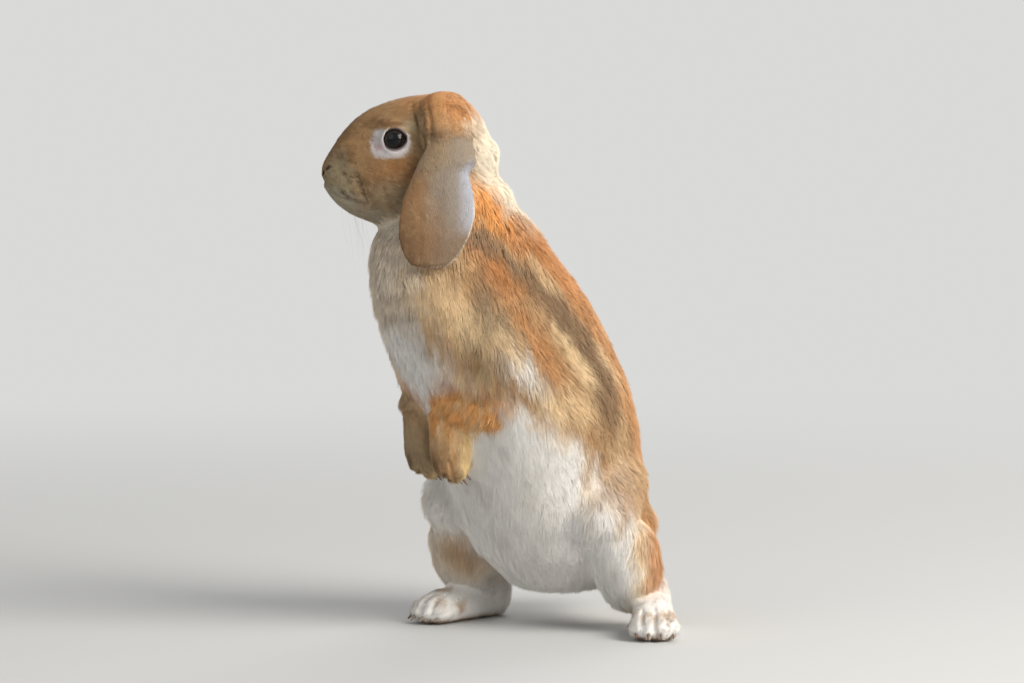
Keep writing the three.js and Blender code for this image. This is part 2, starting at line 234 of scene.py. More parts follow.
def distances(nodes):
    """Distance to the nearest of some nodes."""
    return functools.reduce(np.minimum, (distance_to(*node_mesh(node)) for node in nodes))


def blurred(field, spread):
    """The field smoothed over a spread in millimetres, by three running means along each axis."""
    width = int(round(math.sqrt(4.0 * (spread / VOXEL) ** 2 + 1.0))) | 1
    reach = width // 2
    for axis in range(3):
        values = np.moveaxis(field, axis, 0)
        for _ in range(3):
            ends = np.repeat(values[:1], reach + 1, 0), np.repeat(values[-1:], reach, 0)
            padded = np.concatenate((ends[0], values, ends[1]))
            total = np.cumsum(padded, axis=0, dtype=np.float32)
            values = (total[width:] - total[:-width]) / np.float32(width)
        field = np.ascontiguousarray(np.moveaxis(values, 0, axis))
    return field


def evened(field, spread):
    """The field smoothed without drawing its surface in or out."""
    once = blurred(field, spread)
    return 2.0 * once - blurred(once, spread)


def joined(a, b, soft):
    """Union of two solids with a fillet."""
    blend = np.maximum(soft - np.abs(a - b), 0.0) / soft
    return np.minimum(a, b) - blend * blend * soft * 0.25


def carved(a, b, soft):
    """The first solid with the second cut out of it, edges softened."""
    return -joined(-a, b, soft)


class Window:
    """The part of the grid round some points, so that a small shape costs little."""

    def __init__(self, points, reach):
        points = np.atleast_2d(points)
        first = np.clip(((points.min(0) - reach - LOW) / VOXEL).astype(int), 0, np.array(SHAPE) - 1)
        last = np.clip(((points.max(0) + reach - LOW) / VOXEL).astype(int) + 1, 1, SHAPE)
        self.cut = tuple(slice(a, b) for a, b in zip(first, last))
        self.where = np.stack(np.meshgrid(*(AXES[i][self.cut[i]] for i in range(3)), indexing="ij"), axis=-1)


def rod(where, start, end, radius_start, radius_end):
    """Distance to a tapered round rod."""
    start, end = np.asarray(start, float), np.asarray(end, float)
    line = end - start
    part = np.clip(((where - start) @ line) / (line @ line), 0.0, 1.0)
    gap = np.linalg.norm(where - start - part[..., None] * line, axis=-1)
    return gap - (radius_start + (radius_end - radius_start) * part)


def add_rods(field, points, radii, soft, cut=False):
    """Add a chain of rods to the solid, or carve it out."""
    window = Window(np.array(points), max(radii) + 2.0 * soft)
    change = carved if cut else joined
    part = field[window.cut]
    for (a, b), (ra, rb) in zip(itertools.pairwise(points), itertools.pairwise(radii)):
        part = change(part, rod(window.where, a, b, ra, rb), soft)
    field[window.cut] = part


def mound(where, centre, axes, radii):
    offset = (where - centre) @ np.array(axes).T / np.array(radii)
    return (np.linalg.norm(offset, axis=-1) - 1.0) * min(radii)


def add_mound(field, centre, axes, radii, soft, cut=False):
    """Add a soft ellipsoid to the solid, or carve it out."""
    window = Window(centre, max(radii) + 2.0 * soft)
    change = carved if cut else joined
    field[window.cut] = change(field[window.cut], mound(window.where, centre, axes, radii), soft)


GAPS = {name: distances(nodes) for name, nodes in FLESH.items()}

# Depth of the coat over the skin, length, width and rise of its tufts, and tufts in a square centimetre.
COAT = {
    #            depth length width rise  count
    "head":     (1.4, 5.0, 0.52, 22, 340),
    "ear":      (-0.3, 2.6, 0.40, 11, 260),
    "neck":     (3.6, 11.0, 0.56, 24, 150),
    "trunk":    (3.3, 10.0, 0.54, 24, 182),
    "tail":     (5.0, 13.0, 0.75, 26, 230),
    "forearm":  (1.9, 7.5, 0.62, 24, 180),
    "forepaw":  (0.8, 4.2, 0.46, 18, 270),
    "thigh":    (3.0, 10.0, 0.54, 26, 185),
    "shank":    (2.8, 8.5, 0.54, 22, 190),
    "foot":     (1.3, 5.2, 0.46, 15, 260),
}
PARTS = list(COAT)


def part_weights(gap_rows):
    """How much each part of the body counts at a place, from the distances to all of them."""
    weights = np.exp(-np.maximum(gap_rows, 0.0) / 3.0)
    return weights / weights.sum(axis=0)


def true_distance(field):
    """The field made a real distance again on both sides of its zero surface."""
    return distance_to(*surface(field))


# How far the solids are smoothed: on the trunk, near head and legs, and on feet, paws and forelegs.
BROAD, CLOSE, FINE = 6.0, 3.0, 1.4


def build_field():
    """Distance to the bare skin: the flesh nodes joined, smoothed and drawn in by the coat's depth."""
    flesh = np.minimum.reduce(list(GAPS.values()) + [distances(["eye_left", "eye_right"])])
    fused = true_distance(flesh - CUT_WIDTH) + CUT_WIDTH
    legs = np.minimum(GAPS["shank"], GAPS["foot"])
    arms = np.minimum(GAPS["forearm"], GAPS["forepaw"])
    low = step(STANCE[2] + 152.0, STANCE[2] + 144.0, AXES[2])[None, None, :]
    sleeve = mix(1.0, step(0.0, 5.0, GAPS["forearm"]), low)
    fine = 1.0 - np.minimum.reduce([step(0.0, 8.0, GAPS["foot"]), step(0.0, 6.0, GAPS["forepaw"]), sleeve])
    near_parts = [step(2.0, 26.0, legs), step(0.0, 14.0, GAPS["head"]), step(0.0, 14.0, arms)]
    close = 1.0 - np.minimum.reduce(near_parts)
    body = mix(evened(fused, BROAD), evened(fused, CLOSE), close.astype(np.float32))
    body = mix(body, evened(fused, FINE), fine.astype(np.float32))

    # The coat's depth, blended from part to part and thinner towards the nose and round the claws.
    near = np.abs(body) < 16.0
    names = [name for name in PARTS if name != "ear"]
    weights = part_weights(np.stack([GAPS[name][near] for name in names]))
    where = np.stack([AXES[i][index] for i, index in enumerate(np.nonzero(near))], axis=1)
    depths = np.repeat(np.array([[COAT[name][0]] for name in names]), weights.shape[1], axis=1)
    forward = dot(where - HEAD_MIDDLE, HEAD_FORWARD)
    depths[names.index("head")] = np.interp(forward, (-25, -5, 20, 50, 70), (3.4, 2.2, 1.4, 1.0, 0.7))
    depth = np.full(SHAPE, 6.0, np.float32)
    depth[near] = (weights * depths).sum(axis=0)
    depth = blurred(depth, 2.5) * mix(0.35, 1.0, step(0.5, 6.0, distances(CLAWS))).astype(np.float32)
    body = body + depth

    # Ears: thin, so barely smoothed, filleted into the head at their base and free lower down.
    ears = evened(GAPS["ear"], 1.3) + COAT["ear"][0]
    height = AXES[2][None, None, :]
    soft = mix(1.0, 13.0, step(HEAD_MIDDLE[2] + 5.0, HEAD_MIDDLE[2] + 20.0, height)).astype(np.float32)
    return joined(body, ears, soft)


def outer_side(field, forward, up, side, sunk=0.0):
    """The point on the side of the head at a place forward and up, sunk below the skin by a depth."""
    lefts = np.arange(60.0, 0.0, -0.25)
    line = from_head(0, 0, 0) + forward * HEAD_FORWARD + up * UP + side * lefts[:, None] * HEAD_LEFT
    inside = sampled(field, line) < 0.0
    left = lefts[np.argmax(inside)] if inside.any() else 0.0
    return from_head(forward, side * max(left - sunk, 0.0), up)


# Folds in front of the ear's root: places forward at the top, middle and foot, radius, and if it is cut in.
FOLDS = (
    (15.5, 11.5, 8.5, 0.4, True), (12.5, 9.0, 6.8, 1.0, False),
    (10.0, 6.8, 5.2, 0.4, True), (7.4, 4.6, 4.2, 0.9, False), (4.8, 2.2, 2.6, 0.55, True),
)
LID_OPENING = 6.9
CREASE_DEPTH = 0.4
# Nostril: forward, left and up of its two ends and its middle.
NOSTRIL = ((67.2, 8.8, -6.6), (69.4, 6.8, -9.2), (70.6, 3.6, -12.2))


def sculpt(field):
    """What is raised or carved on the skin: muzzle, brow, eye sockets, folds, nose, chest, toes and nape."""
    axes = (HEAD_FORWARD, HEAD_LEFT, UP)
    bare = field.copy()
    for side in (1.0, -1.0):
        def at(forward, left, up):
            return from_head(forward, side * left, up)

        def line(places, sunk, count=9):
            forwards, ups = (np.interp(np.linspace(0, len(places) - 1, count), range(len(places)), column)
                             for column in zip(*places))
            return [outer_side(bare, forward, up, side, sunk) for forward, up in zip(forwards, ups)]

        def thick(radius, count=9):
            """Radii of a chain that swells to a radius in its middle."""
            return [0.3 + radius * math.sin(math.pi * (i + 0.6) / (count + 0.2)) for i in range(count)]

        # The nose is narrower than the pads that carry the whiskers.
        add_mound(field, at(74.0, 17.5, 0.5), axes, (15.0, 9.0, 7.5), 5.0, cut=True)
        add_mound(field, at(60.5, 8.5, -14.0), axes, (9.5, 8.0, 8.0), 5.0)
        # Brow, the swell of the lids and the hollow in front of the eye.
        add_mound(field, at(24.0, 19.0, 23.0), axes, (13.0, 6.0, 3.5), 5.0)
        add_rods(field, line([(41.0, 14.0), (35.5, 9.5)], -1.0, 4), thick(1.8, 4), 4.0, cut=True)
        eye = at(EYE_FORWARD, EYE_OUT, EYE_UP)
        add_mound(field, eye, axes, (9.9, 9.4, 9.6), 2.6)
        # Cheek crease and lip line.
        add_rods(field, line([(49.0, -9.0), (47.0, -18.0), (43.0, -27.0)], -0.3), thick(1.0), 2.5, cut=True)
        add_rods(field, line([(66.5, -19.5), (61.0, -24.0), (54.0, -26.0)], 0.0), thick(0.9), 1.5, cut=True)
        # Ridges and grooves where the ear springs from the crown.
        for top, mid, low, radius, cut in FOLDS:
            places = [(top, 36.0), (mid, 24.0), (low, 9.0)]
            add_rods(field, line(places, 0.0 if cut else 0.8), thick(radius), 1.4, cut)
        # Room for the eyeball, and the opening between the lids.
        window = Window(eye, 14.0)
        ball = np.linalg.norm(window.where - eye, axis=-1) - (EYE_RADIUS + 0.1)
        opening = rod(window.where, eye, eye + side * 14.0 * HEAD_LEFT, LID_OPENING, LID_OPENING + 1.5)
        field[window.cut] = carved(carved(field[window.cut], ball, 0.3), opening, 0.8)
    sculpt_nose(field)
    sculpt_chest(field)
    sculpt_toes(field)
    # The back of the head runs on into the nape.
    add_mound(field, from_head(-30.0, 0.0, -25.0), axes, (13.0, 17.0, 17.0), 7.0)
    # The left thigh's coat runs straight down on to the lower leg.
    knee = (middle("thigh_left") + middle("shank_left")) / 2.0 + (7.0, 18.0, 0.0)
    add_mound(field, knee, np.eye(3), (11.0, 9.0, 16.0), 7.0)
    return field


def sculpt_chest(field):
    """Folds of loose skin across the throat and chest."""
    near = np.nonzero(np.abs(field) < 7.0)
    where = np.stack([AXES[i][index] for i, index in enumerate(near)], axis=1)
    wave, here = creases(where)
    clear = step(2.0, 5.0, GAPS["ear"][near]) * step(2.0, 8.0, GAPS["head"][near])
    field[near] -= CREASE_DEPTH * wave * here * clear


def sculpt_nose(field):
    """The two slits and the split below them."""
    for side in (1.0, -1.0):
        points = [from_head(f, side * l, u) for f, l, u in NOSTRIL]
        add_rods(field, points, (1.3, 2.4, 1.5), 0.8, cut=True)
    step_under = [from_head(72.4, 9.0, -14.2), from_head(73.4, 0, -14.2), from_head(72.4, -9.0, -14.2)]
    add_rods(field, step_under, (1.4, 2.4, 1.4), 2.0, cut=True)
    add_rods(field, [from_head(72.2, 0, -12.5), from_head(70.0, 0, -21.0)], (0.8, 0.8), 1.2, cut=True)


def met(field, places, way):
    """Where a line from each place, going against a way, first meets the skin."""
    reach = np.arange(30.0, -14.0, -0.25)
    found = []
    for place in places:
        line = place + reach[:, None] * way
        found.append(line[np.argmax(sampled(field, line) < 0.0)])
    return np.array(found)


def sculpt_toes(field):
    """Grooves between the toes, running back from between the claws."""
    bare = field.copy()
    for side in SIDES:
        for a, b in itertools.pairwise(claw_row("hind", side)):
            start = (a + b) / 2.0 - 3.0 * foot_forward(side)
            places = [start - t * foot_forward(side) for t in (0.0, 4.0, 8.0, 12.0, 16.0)]
            add_rods(field, met(bare, places, UP), (1.7, 1.4, 1.0, 0.7, 0.4), 1.6, cut=True)
        claws = claw_row("fore", side)
        front = body_front(np.array([claws[0][2]]))[0]
        for a, b in itertools.pairwise(claws):
            start = (a + b) / 2.0 + 3.0 * UP
            places = [start + t * UP for t in (0.0, 3.0, 6.0, 9.0, 12.0)]
            add_rods(field, met(bare, places, front), (1.3, 1.1, 0.9, 0.6, 0.4), 1.2, cut=True)


def surface(field, adaptivity=0.0):
    """The field's zero surface as corners and triangles, facing out, with fewer where it is flat."""
    grid = openvdb.FloatGrid(BAND * VOXEL)
    grid.transform = TRANSFORM
    grid.copyFromArray(np.ascontiguousarray(field, dtype=np.float32))
    points, triangles, quads = grid.convertToPolygons(isovalue=0.0, adaptivity=adaptivity)
    quads = quads.astype(np.int64)
    triangles = triangles.astype(np.int64).reshape(-1, 3)
    faces = np.concatenate((quads[:, (0, 1, 2)], quads[:, (0, 2, 3)], triangles))
    a, b, c = (points[faces[:, i]].astype(float) for i in range(3))
    if dot(a, np.cross(b, c)).sum() < 0:
        faces = faces[:, ::-1]
    return points.astype(float), faces


# ---------------------------------------------------------------- meshes


def made_mesh(name, points, faces, sizes=None, smooth=True):
    """A new object from points in millimetres. Faces are rows of equal length, or one list with sizes."""
    faces = np.asarray(faces, np.int32)
    sizes = np.full(len(faces), faces.shape[1], np.int32) if sizes is None else np.asarray(sizes, np.int32)
    loops = faces.ravel()
    mesh = bpy.data.meshes.new(name)
    mesh.vertices.add(len(points))
    mesh.vertices.foreach_set("co", (np.asarray(points) * MM).astype(np.float32).ravel())
    mesh.loops.add(len(loops))
    mesh.loops.foreach_set("vertex_index", loops)
    mesh.polygons.add(len(sizes))
    starts = np.concatenate(((0,), np.cumsum(sizes)[:-1])).astype(np.int32)
    mesh.polygons.foreach_set("loop_start", starts)
    mesh.polygons.foreach_set("loop_total", sizes)
    mesh.polygons.foreach_set("use_smooth", np.full(len(sizes), smooth))
    mesh.update(calc_edges=True)
    return shown(name, mesh)


def give_colour(piece, colours, name="coat"):
    """Store a linear colour for every corner point of a piece."""
    layer = piece.data.color_attributes.new(name, "FLOAT_COLOR", "POINT")
    values = np.ones((len(colours), 4), np.float32)
    values[:, :3] = colours
    layer.data.foreach_set("color", values.ravel())


def give_number(piece, values, name):
    layer = piece.data.attributes.new(name, "FLOAT", "POINT")
    layer.data.foreach_set("value", np.asarray(values, np.float32))


def sampled(field, points):
    """Values of a grid at points, between its voxels."""
    cells = np.clip((points - LOW) / VOXEL, 0.0, np.array(SHAPE) - 1.001)
    return sum(weight * field[tuple(corner.T)] for corner, weight in cell_corners(cells))


# ---------------------------------------------------------------- camera, lights and floor

CAMERA_AZIMUTH = math.radians(32.0)
CAMERA_DISTANCE = 2774.0
CAMERA_HEIGHT = 384.0
CAMERA_DOWN = math.radians(4.11)
CAMERA_TURN = math.radians(0.537)
LENS, SENSOR, CAMERA_REACH = 150.0, 36.0, 60.0
PAPER = (0.70, 0.70, 0.69, 1.0)
SKY, SKY_STRENGTH = (0.86, 0.88, 0.9, 1.0), 0.40
# Lamps: name, angle round the model, height, distance and size in metres, watts, tint.
LAMPS = (
    ("key lamp", 86.0, 1.5, 2.2, 1.7, 90.0, (1.0, 0.965, 0.91)),
    ("front lamp", -14.0, 1.6, 2.8, 2.2, 13.0, (0.96, 0.985, 1.0)),
    ("back lamp", 195.0, 1.8, 2.4, 1.6, 25.0, (1.0, 0.98, 0.95)),
)
LIT_POINT = np.array((0.0, 0.0, 0.17))
FLOOR_RINGS = (0.05, 0.5, 1.5, 14.0)


def place_camera():
    """A long lens a little above the head, in front and to the animal's left, turned slightly down."""
    towards = np.array((math.sin(CAMERA_AZIMUTH), -math.cos(CAMERA_AZIMUTH), 0.0))
    right = np.cross(-towards, UP)
    level = -towards * math.cos(CAMERA_TURN) - right * math.sin(CAMERA_TURN)
    aim = level * math.cos(CAMERA_DOWN) - UP * math.sin(CAMERA_DOWN)
    data = bpy.data.cameras.new("camera")
    data.lens, data.sensor_width, data.clip_end = LENS, SENSOR, CAMERA_REACH
    camera = shown("camera", data)
    camera.location = (STANCE * (1, 1, 0) + towards * CAMERA_DISTANCE + UP * CAMERA_HEIGHT) * MM
    camera.rotation_euler = aim_vector(aim)
    bpy.context.scene.camera = camera


def aim_vector(direction):
    return Vector(direction).to_track_quat("-Z", "Y").to_euler()


def lamp(name, azimuth, height, distance, size, watts, tint):
    """A soft square lamp at an angle round the model, aimed at its middle."""
    angle = math.radians(azimuth)
    place = np.array((math.sin(angle) * distance, -math.cos(angle) * distance, height))
    data = bpy.data.lights.new(name, "AREA")
    data.shape, data.size, data.energy, data.color = "SQUARE", size, watts, tint
    light = shown(name, data)
    light.location = place
    light.rotation_euler = aim_vector(LIT_POINT - place)


def stage_and_lights():
    """Soft lamps, and a pale world that looks like paper where it is seen."""
    scene = bpy.context.scene
    scene.view_settings.view_transform = "Standard"
    for row in LAMPS:
        lamp(*row)
    scene.world = bpy.data.worlds.new("studio")
    scene.world.use_nodes = True
    graph = Graph(scene.world.node_tree)
    sky = graph.nodes["Background"]
    graph.fill(sky, Color=SKY, Strength=SKY_STRENGTH)
    ray = graph.add("ShaderNodeLightPath").outputs
    mirrored = graph.maths("MAXIMUM", ray["Is Glossy Ray"], ray["Is Transmission Ray"])
    seen = graph.maths("MAXIMUM", ray["Is Camera Ray"], mirrored)
    paper = graph.add("ShaderNodeBackground", Color=PAPER)
    blend = graph.add("ShaderNodeMixShader", seen, sky.outputs[0], paper.outputs[0])
    graph.fill(graph.nodes["World Output"], Surface=blend.outputs[0])
    make_floor()


def make_floor():
    """A wide round floor, finer under the model."""
    around = [(math.cos(a), math.sin(a), 0.0) for a in np.radians(np.arange(0, 360, 5))]
    points = np.array([np.array(around) * radius for radius in FLOOR_RINGS]).reshape(-1, 3)
    count = len(around)
    faces, sizes = [], []
    for ring in range(len(FLOOR_RINGS) - 1):
        for i in range(count):
            j = (i + 1) % count
            faces += [ring * count + i, (ring + 1) * count + i, (ring + 1) * count + j, ring * count + j]
            sizes.append(4)
    for i in range(count):
        faces += [i, (i + 1) % count, len(points)]
        sizes.append(3)
    floor = made_mesh("studio_floor", np.concatenate((points, np.zeros((1, 3)))) / MM, faces, sizes)
    floor.data.materials.append(plain_paper())


def plain_paper():
    """Pale studio paper that keeps shadows near the model and melts into the backdrop further out."""
    paper = Paint("studio paper")
    dimmed = (*(0.84 * c for c in PAPER[:3]), 1.0)
    paper.fill(paper.shader, Base_Color=dimmed, Roughness=0.9, Specular_IOR_Level=0.1)
    glow = paper.add("ShaderNodeEmission", Color=PAPER)
    place = paper.add("ShaderNodeTexCoord").outputs["Object"]
    length = paper.add("ShaderNodeVectorMath", place, operation="LENGTH").outputs["Value"]
    far = paper.add("ShaderNodeMapRange", interpolation_type="SMOOTHSTEP", Value=length, From_Min=0.35,
                    From_Max=1.9)
    seen = paper.add("ShaderNodeLightPath").outputs["Is Camera Ray"]
    amount = paper.maths("MULTIPLY", far.outputs["Result"], seen)
    blend = paper.add("ShaderNodeMixShader", amount, paper.shader.outputs[0], glow.outputs[0])
    paper.fill(paper.nodes["Material Output"], Surface=blend.outputs[0])
    return paper.material


# ---------------------------------------------------------------- markings

FAWN, FAWN_DARK, CROWN = dye(164, 129, 89), dye(112, 80, 52), dye(206, 148, 94)
TICK = dye(196, 168, 124)
GREY_TAN, CHEEK, PAD = dye(158, 140, 112), dye(172, 122, 76), dye(148, 137, 110)
LIP, DARK_MARK_AND_GROOVE_SHADE, NOSTRIL_SHADE = dye(170, 162, 142), dye(80, 56, 38), dye(44, 28, 23)
WHITE, WHITE_SHADE, CHEST = dye(246, 243, 238), dye(228, 223, 215), dye(222, 202, 174)
EYE_WHITE = dye(212, 205, 204)
ORANGE, TAN, CREAM, BROWN_GREY = dye(198, 136, 82), dye(186, 148, 106), dye(238, 210, 166), dye(138, 112, 86)
NAPE, BEHIND_EAR, PAW = dye(240, 229, 208), dye(230, 160, 86), dye(160, 134, 102)
CREASE_SHADE, ARM = dye(120, 92, 62), dye(226, 164, 98)
PALM = dye(226, 198, 142)
EAR_TOP, EAR_FRONT, EAR_BACK = dye(162, 136, 104), dye(160, 120, 80), dye(138, 127, 115)
EAR_TIP = dye(118, 90, 64)
EAR_RIM_HIGHLIGHT, EAR_EDGE, EAR_INNER = dye(168, 171, 182), dye(226, 212, 184), dye(222, 186, 168)
PINK, STAIN, LID_DARK = dye(222, 168, 160), dye(184, 144, 98), dye(46, 32, 28)
WHISKER = dye(150, 136, 118)


def patch(places, centre, radii, soft=0.45):
    """How far places lie inside a soft-edged ellipsoid, from 1 in its middle to 0 outside."""
    size = np.linalg.norm((places - np.array(centre, float)) / np.array(radii, float), axis=1)
    return 1.0 - step(1.0 - soft, 1.0 + soft, size)


class Painting:
    """The colours of some places. A call lays a dye over them, by an amount at each place."""

    def __init__(self, ground, count):
        self.colour = np.repeat(ground[None], count, 0)

    def __call__(self, tint, amount):
        self.colour = mix(self.colour, tint, np.asarray(amount)[:, None])


def whisker_places():
    """Where the whiskers spring from each pad: rows of places forward and up."""
    return [(58.4 - 4.9 * i - 2.0 * (row % 2) + 1.3 * math.sin(7.3 * i + 4.1 * row),
             -8.4 - 5.4 * row - 0.6 * i + 1.1 * math.sin(5.1 * i + 2.7 * row))
            for row in range(4) for i in range(3)]


def head_colours(points):
    """Fawn head with a pale patch round the eye, grey whisker pads and a cream back."""
    head = in_head(points)
    head[:, 1] = np.abs(head[:, 1])
    forward, side, up = head.T
    fine, broad = cloud(points, 2.2, 11), cloud(points, 7.0, 12)
    paint = Painting(FAWN, len(points))
    tick = cloud(points, (1.5, 1.5, 1.1), 14)
    paint(FAWN_DARK, 0.30 * step(0.0, 0.8, broad + 0.4 * fine))
    paint(FAWN_DARK, 0.35 * patch(head, (60, 3, 14), (13, 9, 11)))
    paint(FAWN_DARK, 0.55 * patch(head, (38, 19, 24), (9, 9, 5)) * step(-0.6, 0.5, fine))
    paint(CROWN, 0.65 * step(24, 38, up + 3 * broad) * step(38, 8, forward))
    paint(GREY_TAN, 0.5 * patch(head, (12, 28, 20), (10, 12, 14)))
    paint(CHEEK, 0.8 * patch(head, (25, 29, -7), (17, 12, 9)))
    paint(FAWN_DARK, 0.5 * patch(head, (24, 29, -8), (14, 12, 8)) * step(0.1, 0.6, fine + broad))
    paint(GREY_TAN, 0.7 * patch(head, (26, 26, -27), (24, 16, 15)))
    paint(FAWN_DARK, 0.35 * patch(head, (30, 26, -20), (20, 16, 14)) * step(0.2, 0.7, fine - 0.4 * broad))
    paint(GREY_TAN, 0.6 * patch(head, (62, 10, 1), (9, 9, 7)))
    paint(PAD, 0.9 * patch(head, (60, 13, -13), (13, 12, 12)))
    paint(LIP, 0.85 * step(-15, -22, up - 0.3 * (forward - 62) + fine) * step(40, 54, forward))
    paint(LIP, 0.85 * step(-35, -43, up + 2 * broad))
    paint(LIP, 0.7 * patch(head, (40, 16, -36), (9, 12, 7)))
    paint(LIP, 0.45 * patch(head, (70.5, 0, -14), (5, 6, 7)))
    for number, (spot_forward, spot_up) in enumerate(whisker_places()):
        gap = np.hypot(forward - spot_forward, up - spot_up)
        size = 2.3 if number % 3 == 0 else 1.8
        paint(DARK_MARK_AND_GROOVE_SHADE, 0.85 * (1 - step(0.7, size, gap + 0.2 * fine)) * step(4, 8, side))
    # Painted shade along the cheek crease.
    crease = np.interp(up, (-30, -20, -12, -5), (42.5, 46.5, 49.0, 51.0))
    shade = (1 - step(0.4, 2.2, np.abs(forward - crease))) * step(-31, -26, up) * step(-3, -8, up)
    paint(DARK_MARK_AND_GROOVE_SHADE, 0.65 * (shade * step(6, 10, side)))

    paint(FAWN_DARK, 0.42 * step(0.1, 0.8, tick + 0.3 * broad))
    paint(TICK, 0.34 * step(-0.15, -0.8, tick))

    # Pale surround of the eye: a rounded block that reaches forward and below, with a pink inner corner.
    across, over = forward - EYE_FORWARD, up - EYE_UP
    beside = step(10, 15, side)
    wide, tall = np.abs((across - 3.6) / 12.9), np.abs((over + 1.8 + 0.05 * across) / 8.8)
    block = (wide ** 3.4 + tall ** 3.4) ** (1 / 3.4)
    pale = step(1.08, 0.90, block + 0.05 * fine) * step(7.6, 5.0, over - 0.32 * np.minimum(across, 0))
    paint(EYE_WHITE, 0.95 * pale * beside)
    spot = np.stack((across, over), 1)
    paint(GREY_TAN * 1.25, 0.8 * patch(spot, (-7.5, 8.0), (6.0, 3.0)) * beside)
    paint(FAWN_DARK, 0.75 * patch(spot, (2.0, 9.6), (8.5, 1.8)) * beside)
    paint(PINK, 0.6 * patch(spot, (10.0, -4.6), (1.5, 2.2)) * beside)

    # Painted shade in fold grooves, nostril slits and the split lip; painted highlight on fold ridges.
    for top, mid, low, _, cut in FOLDS:
        place = np.interp(up, (9, 24, 36), (low, mid, top))
        shade = (1 - step(0.3, 1.5, np.abs(forward - place))) * step(7, 12, up) * step(44, 37, up)
        shade = shade * step(12, 18, side)
        paint(FAWN_DARK if cut else CROWN, 0.2 * shade * step(2.5, 4.0, forward))
    for f, l, u in NOSTRIL:
        paint(NOSTRIL_SHADE, 0.95 * (1 - step(2.6, 3.8, np.linalg.norm(head - (f, l, u), axis=1))))
    split = np.hypot(side, np.minimum(forward - 68.5, 0.0)) + 2 * step(-10, -7, up) + 2 * step(-18, -22, up)
    paint(DARK_MARK_AND_GROOVE_SHADE, 0.6 * (1 - step(0.5, 1.5, split)) * step(60, 66, forward))

    # The dome over the ear's root, then cream at the back of the head, orange along its top edge.
    dome = step(7, 2, forward) * step(6, 18, up) * step(-30, -20, forward)
    paint(CROWN, 0.75 * dome)
    paint(FAWN_DARK, 0.22 * dome * step(0.0, 0.8, cloud(points, (3, 3, 9), 13)))
    paint(EAR_TOP, 0.85 * dome * step(34, 10, up + 5 * broad) * mix(0.5, 1.0, step(-20, -6, forward)))
    back = step(-15, -28, forward + 4 * broad + 2 * fine)
    paint(NAPE, 0.95 * back)
    paint(BEHIND_EAR, 0.9 * step(-6, -18, up + 3 * broad) * step(-10, -20, forward) * step(-37, -29, forward))
    paint(CROWN, 0.55 * back * step(16, 34, up + 0.4 * forward + 3 * broad))
    # Painted shade in the notch where the ear drops from under the crown's hair.
    notch_shade = patch(head[:, (0, 2)], (0.5, 17.5), (6.0, 2.2), 0.8)
    paint(FAWN_DARK, 0.6 * notch_shade * step(16, 22, side))
    return paint.colour


def ear_colours(points, normals):
    """Velvet ear: tan in front, lilac grey behind with a painted bluish highlight, pink and bare-looking
    inside.
    """
    head = in_head(points)
    side = np.sign(head[:, 1])
    forward, up = head[:, 0], head[:, 2]
    fine, broad = cloud(points, (1.6, 1.6, 3.0), 21), cloud(points, (9, 9, 18), 22)
    facing = dot(normals, side[:, None] * HEAD_LEFT)
    middle_line = np.interp(up, (-64, -35, 0, 35), (1.5, -1.0, -2.0, -4.0))
    across = forward - middle_line
    paint = Painting(EAR_BACK, len(points))
    paint(EAR_FRONT, 0.9 * step(-4.0, 11.0, across + 4.0 * broad + 1.5 * fine) * step(8, -16, up))
    paint(EAR_FRONT, 0.45 * patch(np.stack((across, up), 1), (1.5, -44), (5.0, 18.0), 0.8))
    # Painted shade in a soft darker line down the middle of the ear.
    paint(FAWN_DARK, 0.25 * patch(np.stack((across, up), 1), (-4.0, -40), (4.0, 24.0), 0.8))
    paint(EAR_TIP, 0.65 * step(-28, -60, up + 5 * broad - 0.25 * np.abs(across)))
    paint(FAWN_DARK, 0.5 * step(0.1, 0.8, fine) * step(-10, -40, up) * step(-10, 8, across))
    paint(EAR_TOP, 0.9 * step(-16, 8, up + 3 * broad) * mix(0.25, 1.0, step(-16, -2, forward + 3 * broad)))
    tick = cloud(points, (1.3, 1.3, 2.2), 23)
    paint(FAWN_DARK, 0.30 * step(0.15, 0.8, tick) * step(-16, 4, across))
    paint(TICK, 0.25 * step(-0.15, -0.8, tick) * step(-16, 4, across))
    # Painted shade in the notch where the ear drops from under the crown's hair.
    notch_shade = patch(np.stack((forward, up), 1), (0.5, 16.5), (6.0, 2.6), 0.8)
    paint(FAWN_DARK, 0.6 * notch_shade * step(0.0, 0.4, facing))
    # The rims, from how far the ear reaches backwards at each height and from which way they face.
    half = np.interp(-up, (-40, 0, 8, 22, 34.5, 47, 56.6, 64), (14, 18.4, 17.6, 22.6, 24.5, 22.9, 19.1, 13.5))
    centre = np.interp(-up, (-40, 0, 8, 22, 34.5, 47, 56.6, 64), (-9, -8, -3.8, -2.6, -1.4, 0.8, 2, 2.5))
    edge = (forward - centre) / half
    # Painted highlight: a pale bluish band over the back part of the ear.
    paint(EAR_RIM_HIGHLIGHT, 0.85 * step(-0.40, -0.95, edge + 0.06 * fine) * step(-50, -36, up) * step(4, -6, up))
    flat = np.abs(facing)
    rim = step(0.80, 0.45, flat) * step(0, -8, up)
    paint(EAR_EDGE, 0.9 * rim * step(6.0, 0.0, forward) * step(-20, -34, up))
    paint(DARK_MARK_AND_GROOVE_SHADE, 0.5 * rim * step(2.0, 8.0, forward) * step(-40, -52, up))
    inside = step(0.1, -0.35, facing) * step(6, -4, up)
    paint(EAR_INNER, 0.9 * inside)
    paint(EAR_EDGE, 0.8 * inside * step(0.78, 0.92, np.abs(edge)))
    return paint.colour


